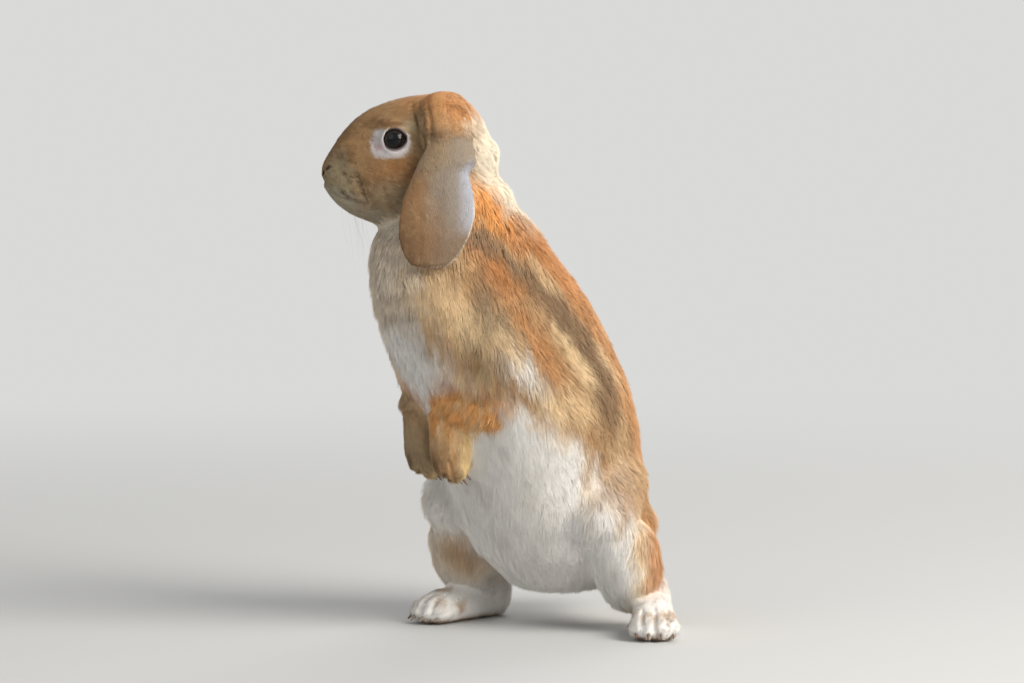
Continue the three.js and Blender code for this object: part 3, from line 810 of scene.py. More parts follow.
# The saddle's edge and the dark streak down the flank: height, edge's angle, streak's angle.
SADDLE = (
    (20, 98, 104), (45, 86, 104), (64, 72, 104), (85, 66, 104), (106, 72, 104), (120, 74, 104),
    (130, 70, 105), (140, 60, 106), (150, 53, 107), (158, 42, 109), (166, 32, 111), (176, 24, 112),
    (190, 22, 113), (205, 23, 114), (225, 25, 112), (243, 36, 104), (262, 62, 96), (285, 100, 94),
    (310, 125, 94),
)
# Soft blots of the coat: dye, strength, height, angle, half height, half angle.
BLOTS = (
    (ORANGE, 0.95, 240, 88, 15, 16), (BEHIND_EAR, 0.95, 284, 114, 18, 20),
    # The first blot below is partly the top of the grey-brown band and partly painted shade under the hanging
    # ear.
    (BROWN_GREY, 0.75, 256, 94, 11, 15), (BROWN_GREY, 0.45, 227, 125, 16, 9),
    (BROWN_GREY, 0.5, 195, 123, 16, 8),
    (CREAM, 0.95, 184, 102, 18, 8), (CREAM, 0.5, 176, 131, 12, 7), (CREAM, 0.55, 236, 130, 12, 8),
    (CREAM, 0.85, 210, 42, 18, 10), (CREAM, 0.8, 224, 26, 13, 10), (ORANGE, 0.6, 196, 80, 26, 8),
    (CREAM, 0.8, 154, 66, 14, 6), (WHITE_SHADE, 0.85, 175, 62, 14, 9), (CREAM, 0.6, 152, 82, 13, 12),
    (GREY_TAN, 0.5, 188, 46, 17, 9), (GREY_TAN, 0.7, 206, 62, 16, 8), (CREAM, 0.6, 190, 60, 10, 4),
    (TAN, 0.8, 92, 88, 20, 14),
)


def body_colours(points):
    """White belly under a saddle of orange, cream and grey-brown streaks, with a cream nape."""
    height, angle = points[:, 2], np.abs(round_body(points))
    long_streak, streak = cloud(points, (9, 9, 40), 31), cloud(points, (4, 4, 17), 32)
    mottle, fine = cloud(points, (16, 16, 30), 33), cloud(points, (2.4, 2.4, 6), 34)
    saddle = step(-16, 15, angle - table(height, SADDLE, 1) + 9 * long_streak + 8 * streak + 3 * fine)
    from_streak = angle - table(height, SADDLE, 2) + 4 * long_streak + 3 * streak
    paint = Painting(TAN, len(points))
    paint(CREAM, 0.35 * step(0.0, 0.6, long_streak + 0.5 * streak))
    paint(CREAM, 0.7 * step(0.75, 0.3, saddle))
    paint(BROWN_GREY, 0.6 * step(0.15, 0.7, mottle - 0.5 * long_streak) * step(140, 175, height))
    paint(ORANGE, step(10, 26, from_streak) * step(40, 70, height) * mix(0.55, 0.85, step(200, 235, height)))
    dark = step(21, 4, np.abs(from_streak)) * step(120, 150, height)
    paint(BROWN_GREY, 0.72 * dark * step(268, 250, height))
    drift = np.stack((height + 7 * streak, angle + 3 * long_streak + 3 * streak), axis=1)
    for tint, strength, blot_height, blot_angle, tall, wide in BLOTS:
        paint(tint, strength * patch(drift, (blot_height, blot_angle), (tall, wide), 0.75))
    under = Painting(WHITE, len(points))
    under(WHITE_SHADE, 0.6 * step(0.1, 0.8, mottle + 0.4 * streak))
    under(CHEST, 0.75 * step(190, 216, height + 6 * streak))
    wave, here = creases(points)
    # Painted shade in the troughs of the chest's folds.
    under(CREASE_SHADE, 0.3 * here * step(-0.2, -0.9, wave + 0.5 * fine))
    paint.colour = mix(under.colour, paint.colour, saddle[:, None])
    paint(ORANGE, 0.85 * patch(drift, (157, 25), (13, 17), 0.7))
    paint(CREAM, 0.7 * patch(drift, (171, 27), (8, 15), 0.8) * step(-0.2, 0.4, streak))
    nape = step(258, 282, height + 8 * streak) * step(124, 148, angle + 8 * streak)
    paint(NAPE, 0.95 * nape)
    paint(FAWN_DARK, 0.30 * saddle * (1 - nape) * step(0.25, 0.8, fine) * step(90, 190, height))
    return paint.colour


def limb_colours(points, name):
    """Orange forelegs, brown paws, white hind legs with tan patches."""
    height = points[:, 2]
    mottle, fine = cloud(points, (8, 8, 14), 41), cloud(points, (2, 2, 4), 42)
    if name in ("forearm", "forepaw"):
        front = body_front(height)
        behind = dot(points - PAWS, front)
        paint = Painting(ARM, len(points))
        paint(CREAM, 0.6 * step(-0.2, 0.6, cloud(points, (3, 3, 9), 43)))
        paint(PAW, 0.3 * step(-0.3, 0.6, mottle + 0.6 * fine))
        paint(PAW, 0.7 * step(142, 118, height + 6 * mottle) * step(-10.0, 0.0, behind))
        right = dot(points - PAWS, np.cross(UP, front)) < 0
        paint(GREY_TAN, 0.75 * right * step(172, 156, height))
        # Painted shade in the grooves between the toes.
        for side in SIDES:
            for a, b in itertools.pairwise(claw_row("fore", side)):
                across = dot(points - (a + b) / 2.0, unit((b - a) * (1, 1, 0)))
                groove = (1 - step(0.4, 1.2, np.abs(across))) * step(119, 112, height)
                paint(DARK_MARK_AND_GROOVE_SHADE, 0.6 * (groove * step(-4.0, 0.0, behind)))
        paint(FAWN_DARK, 0.25 * step(0.1, 0.7, mottle + 0.6 * fine) * step(136, 116, height))
        own = np.where(right[:, None], middle("forepaw_right"), middle("forepaw_left"))
        under = dot(points - own, unit(np.array((0.6, 0.8, 0.0))))
        paint(PALM, 0.8 * step(1.0, 8.5, under + 3 * fine + 2 * mottle) * step(138, 128, height))
        paint(CREAM, 0.45 * step(112, 100, height) * step(0.0, 0.6, mottle))
        return paint.colour
    paint = Painting(WHITE, len(points))
    paint(WHITE_SHADE, 0.5 * step(0.0, 0.7, mottle))
    left = points[:, 0] > STANCE[0]
    outer = np.where(left, points[:, 0] - middle("shank_left")[0], middle("shank_right")[0] - points[:, 0])
    back = points[:, 1] - middle("shank_left")[1]
    if name in ("thigh", "shank"):
        edge = 0.75 * outer + 0.8 * back + 6 * mottle + 3 * fine
        paint(CREAM, 0.8 * step(-8.0, 8.0, edge))
        paint(ORANGE, 0.9 * step(3.0, 20.0, edge))
        band = patch(points, middle("shank_right") + (22, -14, 2), (34, 34, 20), 0.7)
        paint(CREAM, 0.8 * band * ~left)
        band = patch(points, middle("shank_right") + (22, -14, 4), (27, 27, 14), 0.6)
        paint(TAN, 0.95 * band * ~left)
        return paint.colour
    toes = np.where(left, *(dot(points - middle(f"hind_foot_{side}"), foot_forward(side)) for side in SIDES))
    paint(STAIN, 0.6 * patch(toes[:, None], (20,), (11,)) * step(0.0, 0.5, mottle + 0.5 * fine))
    # Browner where the feet come within a few millimetres of the floor.
    paint(STAIN, 0.75 * step(5.0, 1.5, height))
    return paint.colour


def foot_forward(side):
    """The way a hind foot points, from its middle to its claws."""
    return unit((np.mean(claw_row("hind", side), axis=0) - middle(f"hind_foot_{side}")) * (1, 1, 0))


def creases(points):
    """Folds that cross the throat and chest, from -1 in the fold to 1 between folds, and where they are."""
    height, angle = points[:, 2], round_body(points)
    wander = 0.5 * cloud(points, (26, 26, 30), 35) + 0.006 * np.abs(angle)
    here = step(186, 210, height) * step(292, 276, height) * step(58, 26, np.abs(angle))
    here = here * step(-0.7, 0.3, cloud(points, (18, 18, 14), 36))
    return np.sin(2 * np.pi * (height / 14.0 + wander)), here


def coat_colours(points, normals, weights):
    """The markings of skin and coat alike, blended from part to part."""
    arms = weights[PARTS.index("forearm")] + weights[PARTS.index("forepaw")]
    crisp = step(0.34, 0.66, arms + 0.10 * cloud(points, (2.5, 2.5, 7.0), 46))
    is_arm = np.array([name in ("forearm", "forepaw") for name in PARTS])[:, None]
    sharper = crisp / np.maximum(arms, 1e-6), (1 - crisp) / np.maximum(1 - arms, 1e-6)
    weights = weights * np.where(is_arm, *sharper)
    weights = dict(zip(PARTS, weights))
    # The forelegs' own colour runs a little way up on to the shoulder.
    shoulder = np.clip(step(9.0, 2.5, sampled(GAPS["forearm"], points)) - weights["forearm"], 0, 1)
    shoulder = shoulder * step(150, 156, points[:, 2] + 4 * cloud(points, 5.0, 45))
    shoulder = np.minimum(shoulder, weights["trunk"])
    weights["forearm"] = weights["forearm"] + shoulder
    weights["trunk"] = weights["trunk"] - shoulder
    trunk = weights["neck"] + weights["trunk"] + 0.8 * weights["thigh"]
    total = trunk[:, None] * body_colours(points)
    total += weights["head"][:, None] * head_colours(points)
    total += weights["ear"][:, None] * ear_colours(points, normals)
    tail = Painting(WHITE, len(points))
    tail(TAN, 0.8 * step(0.0, 0.5, normals[:, 1] * 0.6 + normals[:, 2]))
    total += weights["tail"][:, None] * tail.colour
    for name in ("forearm", "forepaw", "shank", "foot"):
        total += weights[name][:, None] * limb_colours(points, name)
    return total + 0.2 * weights["thigh"][:, None] * limb_colours(points, "thigh")


# ---------------------------------------------------------------- lie of the coat


def lie_of_coat(points, normals, weights):
    """The way the hair points at each place: back over the head, down the ears and body, out to the toes."""
    weights = dict(zip(PARTS, weights))
    forward, left, up = in_head(points).T
    side = np.sign(left)[:, None]
    front = body_front(points[:, 2])

    # Head: backwards and down, parting round the eye.
    over_head = -HEAD_FORWARD + UP * np.interp(up, (-40, 0, 35), (-0.25, -0.55, 0.1))[:, None]
    over_head = over_head + side * HEAD_LEFT * 0.25
    away = np.stack((forward - EYE_FORWARD, np.zeros(len(points)), up - EYE_UP), axis=1)
    reach = np.linalg.norm(away, axis=1, keepdims=True)
    away = unit(away)
    away = away[:, :1] * HEAD_FORWARD + away[:, 2:] * UP
    against = np.minimum(dot(over_head, away), 0.0)[:, None]
    near_eye = (1.0 - step(12.0, 26.0, reach)) * (np.abs(left[:, None]) > 12)
    over_head = over_head - near_eye * against * away + 0.9 * near_eye * step(16.0, 9.0, reach) * away
    dome = (step(8, 0, forward) * step(6, 14, up) * step(12, 20, np.abs(left)))[:, None]
    over_head = mix(over_head, -UP - 0.35 * HEAD_FORWARD + 0.3 * side * HEAD_LEFT, dome)

    # Ears: out from the crown, then down, spreading to both edges.
    spread = np.clip((forward + 3.0) / 24.0, -1.0, 1.0)[:, None]
    hang = step(36.0, 14.0, up)[:, None]
    behind = dot(normals, -front)[:, None]
    angle = np.radians(round_body(points))[:, None]
    ways = {
        "head": over_head,
        "ear": mix(side * HEAD_LEFT * 1.2, -UP, hang) + 0.35 * spread * HEAD_FORWARD,
        "neck": -UP - 0.45 * np.maximum(behind, 0.0) * front,
        "trunk": -UP - 0.30 * np.sin(np.abs(angle)) * front,
        "forearm": unit((PAWS - FOREARMS) * (1, 1, 0)) * 0.35 - UP,
        "forepaw": -UP + 0.25 * front,
        "thigh": -UP - 0.25 * front,
        "shank": -UP + 0.2 * front,
        "tail": np.array((0.0, 0.75, 0.55)) - 0.2 * UP,
    }
    way = np.zeros_like(points)
    for name, own in ways.items():
        way += weights[name][:, None] * own
    for index, foot_side in enumerate(SIDES):
        here = (points[:, 0] > STANCE[0]) == (index == 0)
        way += (weights["foot"] * here)[:, None] * (foot_forward(foot_side) - 0.45 * UP)

    way -= dot(way, normals)[:, None] * normals
    turn = np.radians(16.0 * cloud(points, 19.0, 51) + 9.0 * cloud(points, 7.0, 52))[:, None]
    way = unit(way)
    return way * np.cos(turn) + np.cross(normals, way) * np.sin(turn)


def coat_numbers(points, weights):
    """Length, width and rise of the tufts at each place."""
    length, width, rise = (np.array([COAT[name][k] for name in PARTS]) @ weights for k in (1, 2, 3))
    forward, left, up = in_head(points).T
    own = dict(zip(PARTS, weights))
    shorter = np.interp(forward, (-25, -5, 20, 45, 66), (1.6, 1.25, 1.0, 0.8, 0.5))
    near_eye = np.hypot(forward - EYE_FORWARD, up - EYE_UP)
    shorter = shorter * mix(0.5, 1.0, step(9.0, 17.0, near_eye))
    folds = step(16.0, 10.0, np.abs(forward - 7.0)) * step(6, 12, up) * (np.abs(left) > 10)
    dome = step(6.0, 0.0, forward) * step(-26.0, -16.0, forward) * (np.abs(left) > 14)
    shorter = shorter * mix(1.0, 0.5, np.maximum(folds, dome * step(36.0, 16.0, up)))
    rise = rise * mix(1.0, 0.45, own["head"] * dome)
    length = length * mix(1.0, shorter, own["head"])
    width = width * mix(1.0, np.clip(shorter, 0.75, 1.35), own["head"])
    angle = np.abs(round_body(points))
    nape = step(246.0, 266.0, points[:, 2]) * step(306.0, 288.0, points[:, 2]) * step(112.0, 140.0, angle)
    nape = nape * (own["neck"] + own["trunk"] + own["head"])
    chest = step(60.0, 30.0, angle) * step(150.0, 185.0, points[:, 2]) * own["trunk"]
    belly = step(70.0, 40.0, angle) * step(60.0, 40.0, points[:, 2]) * own["trunk"]
    return length * (1 + 0.1 * nape), width, rise + 9.0 * nape + 8.0 * chest + 4.0 * belly


# ---------------------------------------------------------------- planting and making the tufts


def weights_at(points):
    """How much each part counts on the skin; a hanging ear keeps its own short hair."""
    gaps = np.stack([sampled(GAPS[name], points) for name in PARTS])
    weights = part_weights(gaps)
    ear, head = PARTS.index("ear"), PARTS.index("head")
    level = in_head(points)[:, 2] + 3.5 * cloud(points, 5.0, 61)
    own = step(1.6, 0.2, gaps[ear]) * step(25.0, 11.0, level)
    over = step(9.0, 25.0, level)
    weights[head] += weights[ear] * over
    weights[ear] *= 1.0 - over
    alone = np.zeros_like(weights)
    alone[ear] = 1.0
    return mix(weights, alone, own)


def skin_normals(points, faces):
    corner = points[faces]
    across = np.cross(corner[:, 1] - corner[:, 0], corner[:, 2] - corner[:, 0])
    normals = np.stack([
        sum(np.bincount(faces[:, k], across[:, axis], len(points)) for k in range(3)) for axis in range(3)
    ], axis=1)
    return unit(normals), np.linalg.norm(across, axis=1) / 2.0


# Bare skin round the eye and round the nostril.
BARE_LID, BARE_NOSTRIL = 0.6, 3.2


def plant(points, faces, normals, areas, chance):
    """Roots spread evenly over the skin at each part's own count."""
    centres = points[faces].mean(axis=1)
    weights = weights_at(centres)
    count = np.array([COAT[name][4] for name in PARTS]) @ weights
    head = in_head(centres)
    beside_eye = np.abs(head[:, 1]) > 12
    gap = np.hypot(head[:, 0] - EYE_FORWARD, head[:, 2] - EYE_UP)
    count = np.where(beside_eye & (gap < EYE_RADIUS + BARE_LID), 0.0, count)
    slit = np.stack((head[:, 0], np.abs(head[:, 1]), head[:, 2]), axis=1)
    for f, l, u in NOSTRIL:
        count = np.where(np.linalg.norm(slit - (f, l, u), axis=1) < BARE_NOSTRIL, 0.0, count)
    reach = np.cumsum(areas * count / 100.0)
    total = int(reach[-1])
    picks = np.searchsorted(reach, (np.arange(total) + chance.random(total)) / total * reach[-1])
    picks = np.minimum(picks, len(faces) - 1)
    edge, other = np.sqrt(chance.random(total)), chance.random(total)
    shares = np.stack((1 - edge, edge * (1 - other), edge * other), axis=1)[:, :, None]
    corner = faces[picks]
    return (points[corner] * shares).sum(axis=1), unit((normals[corner] * shares).sum(axis=1))


def clumped(roots, size, chance):
    """For each root, the root that its lock gathers to, with about one lock to a patch of this size."""
    cells = np.floor(roots / size).astype(np.int64)
    _, first = np.unique(cells @ (1, 4096, 4096 * 4096), return_index=True)
    tree = KDTree(len(first))
    for index in first:
        tree.insert(roots[index], int(index))
    tree.balance()
    wobble = roots + chance.normal(0.0, size * 0.12, roots.shape)
    return np.array([tree.find(place)[1] for place in wobble])


def turned(ways, normals, degrees):
    turn = np.radians(degrees)[:, None]
    return ways * np.cos(turn) + np.cross(normals, ways) * np.sin(turn)


# Size of a tuft's patch on the unwrapped skin, and the least height of a tuft over the floor.
TUFT_PATCH, FLOOR_GAP = 0.003, 0.2
# How tufts differ: factors of length and width, and degrees of turn and rise of a lock and of its tufts.
LENGTHS, WIDTHS = (0.68, 1.14), (0.75, 1.2)
LOCK_TURN, TUFT_TURN, LOCK_RISE, TUFT_RISE, LEAST_RISE = 8.0, 6.0, 3.5, 3.5, 4.0
# Where along its length a bent tuft bends.
BEND = 0.42


def make_tufts(name, coat, chosen, bent, lock_size, chance):
    """One piece of coat: a closed thin tuft at each chosen root, bent or straight, gathered into locks."""
    roots, normals, ways = (coat[key][chosen] for key in ("roots", "normals", "ways"))
    length, width, rise = (coat[key][chosen].copy() for key in ("length", "width", "rise"))
    colours = coat["colours"][chosen]
    spots = coat["spots"][chosen]
    count = len(roots)
    lock = clumped(roots, lock_size, chance)
    lock_turn, lock_rise = chance.normal(0.0, LOCK_TURN, count), chance.normal(0.0, LOCK_RISE, count)
    # Coloured hair varies more from tuft to tuft than white hair does.
    vary = 0.025 + 0.17 * (colours.max(axis=1) - colours.min(axis=1))
    lock_shade = chance.normal(0.0, 1.0, count)
    ways = turned(ways, normals, lock_turn[lock] + chance.normal(0.0, TUFT_TURN, count))
    length *= chance.uniform(*LENGTHS, count)
    width *= chance.uniform(*WIDTHS, count)
    rise = rise + 0.8 * lock_rise[lock] + chance.normal(0.0, TUFT_RISE, count)
    rise = np.radians(np.maximum(rise, LEAST_RISE))[:, None]
    colours = colours * np.exp(vary * (0.7 * lock_shade[lock] + chance.normal(0.0, 1.0, count)))[:, None]

    long_way = length[:, None]
    start = roots - normals * np.minimum(0.5, 0.12 * long_way)
    side = np.cross(normals, ways)
    low = ways * np.cos(rise) + normals * np.sin(rise)
    high = ways * np.cos(0.35 * rise) + normals * np.sin(0.35 * rise)
    over = np.cross(low, side)
    over *= np.sign(dot(over, normals))[:, None]
    half = side * width[:, None] * 0.5
    if bent:
        bend = start + BEND * long_way * low
        tip = bend + (1.0 - BEND) * long_way * high
        tip = mix(tip, tip[lock], 0.26)
        ring = [bend - half, bend + half, bend + over * width[:, None] * 0.24]
        points = np.stack([start, *ring, tip], axis=1)
        faces = np.array([(0, 2, 1), (0, 3, 2), (0, 1, 3), (4, 1, 2), (4, 2, 3), (4, 3, 1)])
        along = np.array((0.0, BEND, BEND, BEND, 1.0))
        shift = np.array((0.0, -1.0, 1.0, 0.0, 0.0))
    else:
        tip = start + long_way * unit(low + high)
        tip = mix(tip, tip[lock], 0.04 * lock_size)
        points = np.stack([start - half, start + half, start + over * width[:, None] * 0.4, tip], axis=1)
        faces = np.array([(0, 1, 2), (3, 1, 0), (3, 2, 1), (3, 0, 2)])
        along = np.array((0.0, 0.0, 0.0, 1.0))
        shift = np.array((-1.0, 1.0, 0.0, 0.0))
    points[:, :, 2] = np.maximum(points[:, :, 2], FLOOR_GAP)
    corner = points[:, faces]
    a, b, c = (corner[:, :, k] - start[:, None] for k in range(3))
    volume = dot(a, np.cross(b, c))
    facing_in = volume.sum(axis=1) < 0
    every = points.shape[1]
    order = np.where(facing_in[:, None, None], faces[:, ::-1], faces)
    tuft = np.arange(count)[:, None, None]
    rows = order + every * tuft
    piece = made_mesh(name, points.reshape(-1, 3), rows.reshape(-1, 3))

    # Soft shading: the tuft's own roundness mixed with the skin under it.
    centre = points.mean(axis=1, keepdims=True)
    own = points - centre
    own -= dot(own, low[:, None])[..., None] * low[:, None]
    soft = unit(0.2 * unit(own) + normals[:, None])[tuft, order]
    # A face that is turned away from that way, as under a tuft, takes it mirrored, or it would stay unlit.
    a, b, c = np.moveaxis(points[tuft, order], 2, 0)
    facing = unit(np.cross(b - a, c - a))[:, :, None]
    soft = soft - 2.0 * np.minimum((soft * facing).sum(axis=-1, keepdims=True), 0.0) * facing
    give_colour(piece, np.repeat(colours, every, axis=0))
    give_number(piece, np.tile(along, count), "along")
    places = spots[:, None] + TUFT_PATCH * np.stack((0.5 * shift, along - 0.5), axis=1)[None]
    layer = piece.data.uv_layers.new(name="OFBake")
    layer.data.foreach_set("uv", places.reshape(-1, 2)[rows.ravel()].astype(np.float32).ravel())
    piece.data.normals_split_custom_set(soft.reshape(-1, 3).astype(np.float32))
    return piece


def wrapped(points, centre, axis, start):
    """Turn round an axis, as a share of a circle, and distance along it."""
    axis = unit(axis)
    first = unit(np.asarray(start, float) - dot(np.asarray(start, float), axis) * axis)
    second = np.cross(axis, first)
    offset = points - centre
    return np.arctan2(offset @ second, offset @ first) / (2 * math.pi) + 0.5, offset @ axis


def unrolled(turn, along, column, columns, row=0, rows=1):
    """A chart's turn and distance put into its own cell of the square."""
    span = np.ptp(along) + 1e-6
    across = 0.01 + 0.98 * turn
    up = 0.01 + 0.98 * (along - along.min()) / span
    return np.stack(((column + across) / columns, (row + up) / rows), axis=1)


def unwrap_places(points, normals, part):
    """Each root's place on an unrolled skin: every part is rolled out round its own length."""
    places = np.full((len(points), 2), 0.5)
    head = in_head(points)
    to_left = np.cross(UP, body_front(points[:, 2]))
    is_arm = (part == "forearm") | (part == "forepaw")
    left = np.where(part == "ear", head[:, 1] > 0, points[:, 0] > STANCE[0])
    left = np.where(is_arm, dot(points - STANCE, to_left) > dot(PAWS - STANCE, to_left), left)
    here = part == "head"
    places[here] = unrolled(*wrapped(points[here], HEAD_MIDDLE, HEAD_FORWARD, -UP), 0, 1)
    here = (part == "neck") | (part == "trunk")
    places[here] = unrolled(round_body(points[here]) / 360.0 + 0.5, points[here, 2], 0, 1)
    here = part == "tail"
    places[here] = unrolled(*wrapped(points[here], middle("tail"), (0, 0.7, 0.7), (0, -1, 0)), 0, 1)
    # Each limb's row and how many rows; the left one has the first column.
    cells = {"forearm": (0, 2), "forepaw": (1, 2), "thigh": (0, 3), "shank": (1, 3), "foot": (2, 3)}
    for name, (row, rows) in cells.items():
        for column, side in enumerate(SIDES):
            here = (part == name) & (left == (column == 0))
            if here.any():
                axis, start = (foot_forward(side), UP) if name == "foot" else (UP, (0, 1, 0))
                turn, along = wrapped(points[here], middle(FLESH[name][column]), axis, start)
                places[here] = unrolled(turn, along, column, 2, row, rows)
    for column, sign in enumerate((1, -1)):
        for row, outer in enumerate((True, False)):
            here = (part == "ear") & (left == (column == 0)) & ((dot(normals, HEAD_LEFT) * sign > 0) == outer)
            if here.any():
                across = (head[here, 0] + 40.0) / 80.0
                places[here] = unrolled(np.clip(across, 0, 1), head[here, 2], column, 2, row, 2)
    return places


COAT_SEED = 2026
# Edges of the coat's pieces: forward on the head, degrees round the trunk, and height on its back.
FACE_FROM, BELLY_TO, BACK_FROM, RUMP_TO = 22.0, 56.0, 120.0, 140.0


def coat_pieces(points, faces, materials):
    """The whole coat, split into pieces by the part that each root stands on."""
    chance = np.random.default_rng(COAT_SEED)
    normals, areas = skin_normals(points, faces)
    roots, root_normals = plant(points, faces, normals, areas, chance)
    weights = weights_at(roots)
    length, width, rise = coat_numbers(roots, weights)
    part = np.array(PARTS)[np.argmax(weights, axis=0)]
    coat = {
        "roots": roots, "normals": root_normals, "length": length, "width": width, "rise": rise,
        "ways": lie_of_coat(roots, root_normals, weights),
        "colours": coat_colours(roots, root_normals, weights),
        "spots": unwrap_places(roots, root_normals, part),
    }
    angle = round_body(roots)
    round_trunk = np.where(part == "trunk", np.abs(angle), np.nan)
    flank = (round_trunk >= BELLY_TO) & (round_trunk < BACK_FROM)
    back, upper = round_trunk >= BACK_FROM, roots[:, 2] > RUMP_TO
    face = in_head(roots)[:, 0] > FACE_FROM
    split = {
        # roots, bent tufts or straight ones, size of a lock, slot
        "coat_face": ((part == "head") & face, False, 3.0, "fawn_fur"),
        "coat_crown": ((part == "head") & ~face, False, 3.0, "fawn_fur"),
        "coat_ears": (part == "ear", False, 2.0, "ear_fur"),
        "coat_neck": (part == "neck", True, 6.0, "cream_fur"),
        "coat_belly": (round_trunk < BELLY_TO, False, 5.0, "white_fur"),
        "coat_left_flank": (flank & (angle > 0), False, 5.0, "orange_fur"),
        "coat_right_flank": (flank & (angle < 0), False, 5.0, "orange_fur"),
        "coat_back": (back & upper, False, 5.0, "orange_fur"),
        "coat_rump": (back & ~upper, False, 5.0, "orange_fur"),
        "coat_forelegs": (np.isin(part, ("forearm", "forepaw")), False, 3.0, "orange_fur"),
        "coat_thighs": (np.isin(part, ("thigh", "shank")), False, 5.0, "cream_fur"),
        "coat_feet": (part == "foot", False, 3.0, "white_fur"),
        "coat_tail": (part == "tail", True, 6.5, "white_fur"),
    }
    for name, (chosen, bent, lock_size, slot) in split.items():
        piece = make_tufts(name, coat, chosen, bent, lock_size, chance)
        piece.data.materials.append(materials["coat"])
        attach(piece, "root")


# ---------------------------------------------------------------- eyes and lids


def ring_mesh(name, rings, closed_ends=False, closed_loop=False):
    """A mesh of equal rings, each joined to the next, closed by a point at each end or from last to first."""
    rings = np.array(rings)
    count, around = rings.shape[:2]
    faces = []
    for i in range(count if closed_loop else count - 1):
        a, b = i * around, ((i + 1) % count) * around
        faces += [(a + k, a + (k + 1) % around, b + (k + 1) % around, b + k) for k in range(around)]
    points = rings.reshape(-1, 3)
    flat = [corner for face in faces for corner in face]
    sizes = [4] * len(faces)
    if closed_ends:
        points = np.concatenate((points, rings[:1].mean(axis=1), rings[-1:].mean(axis=1)))
        for end, row, flip in ((len(points) - 2, 0, True), (len(points) - 1, (count - 1) * around, False)):
            for k in range(around):
                a, b = row + k, row + (k + 1) % around
                flat += [b, a, end] if flip else [a, b, end]
                sizes.append(3)
    return made_mesh(name, points, flat, sizes)


def outward(piece):
    """Turn every face of a closed piece outwards."""
    work = bmesh.new()
    work.from_mesh(piece.data)
    bmesh.ops.recalc_face_normals(work, faces=work.faces)
    work.to_mesh(piece.data)
    work.free()


def wound(angle):
    """An angle brought between minus and plus half a turn."""
    return math.atan2(math.sin(angle), math.cos(angle))


# Section of a lid: distance from the eye's middle, and degrees outwards from the edge of the opening.
LID_SECTION = (
    (7.9, 2.0), (8.45, -1.5), (8.95, -1.0), (9.3, 2.0), (9.45, 6.5),
    (9.4, 12.0), (9.2, 18.0), (8.7, 25.0), (7.9, 24.0),
)


def make_eye(side_name, sign, materials):
    """A dark eyeball with a swelling cornea, and the lids round it."""
    centre = HEAD_MIDDLE + EYE_FORWARD * HEAD_FORWARD + EYE_UP * UP + sign * EYE_OUT * HEAD_LEFT
    axis = unit(sign * HEAD_LEFT + 0.10 * HEAD_FORWARD)
    across = unit(HEAD_FORWARD - dot(HEAD_FORWARD, axis) * axis)
    over = np.cross(axis, across) * sign
    over = over * np.sign(over[2])

    def on_ball(reach, polar, turn):
        """A point at a distance from the eye's middle, at an angle from its axis and a turn round it."""
        round_axis = math.cos(turn) * across + math.sin(turn) * over
        return centre + reach * (math.cos(polar) * axis + math.sin(polar) * round_axis)

    turns = np.radians(np.arange(0.0, 360.0, 360.0 / 64))
    polar = np.radians(np.linspace(1.5, 178.5, 50))
    rings = []
    for p in polar:
        reach = EYE_RADIUS - 0.15 + 0.45 * float(step(math.radians(64), 0.0, p))
        rings.append([on_ball(reach, p, t) for t in turns])
    ball = ring_mesh(f"eyeball_{side_name}", rings, closed_ends=True)
    outward(ball)
    ends = np.array((0.0, EYE_RADIUS))
    give_number(ball, np.concatenate((np.repeat(np.sin(polar) * EYE_RADIUS, len(turns)), ends)), "from_pupil")
    give_number(ball, np.concatenate((np.tile(turns, len(polar)), (0.0, 0.0))), "round")
    ball.data.materials.append(materials["eye"])
    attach(ball, "root")
    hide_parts(f"eye_{side_name}")

    # Lids: a rolled rim that follows the ball, drawn out at the inner corner, then tucked under the skin.
    loops, tints = [], []
    for t in np.radians(np.arange(0.0, 360.0, 4.0)):
        inner_corner = math.exp(-(wound(t + 0.42) / 0.20) ** 2)
        outer_corner = math.exp(-(wound(t - math.pi + 0.1) / 0.35) ** 2)
        opening = 57.5 - 8.0 * max(math.sin(t), 0.0) - 15.0 * max(-math.sin(t), 0.0)
        opening += 8.0 * inner_corner + 3.0 * outer_corner
        stretch = max(1.0, (81.5 - opening) / 24.0)
        above = float(step(-0.1, 0.6, math.sin(t)))
        line = []
        for reach, spread in LID_SECTION:
            spread = spread * stretch
            line.append(on_ball(reach, math.radians(opening + spread), t))
            rim = float(step(7.0, 1.5, spread))
            pale = mix(mix(EYE_WHITE, FAWN_DARK, 0.8 * above), PINK, 0.85 * inner_corner)
            tints.append(mix(pale, mix(LID_DARK, PINK, 0.6 * inner_corner), rim))
        loops.append(line)
    lids = ring_mesh(f"eyelids_{side_name}", loops, closed_loop=True)
    outward(lids)
    give_colour(lids, np.array(tints))
    lids.data.materials.append(materials["lid"])
    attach(lids, "root")


# ---------------------------------------------------------------- whiskers


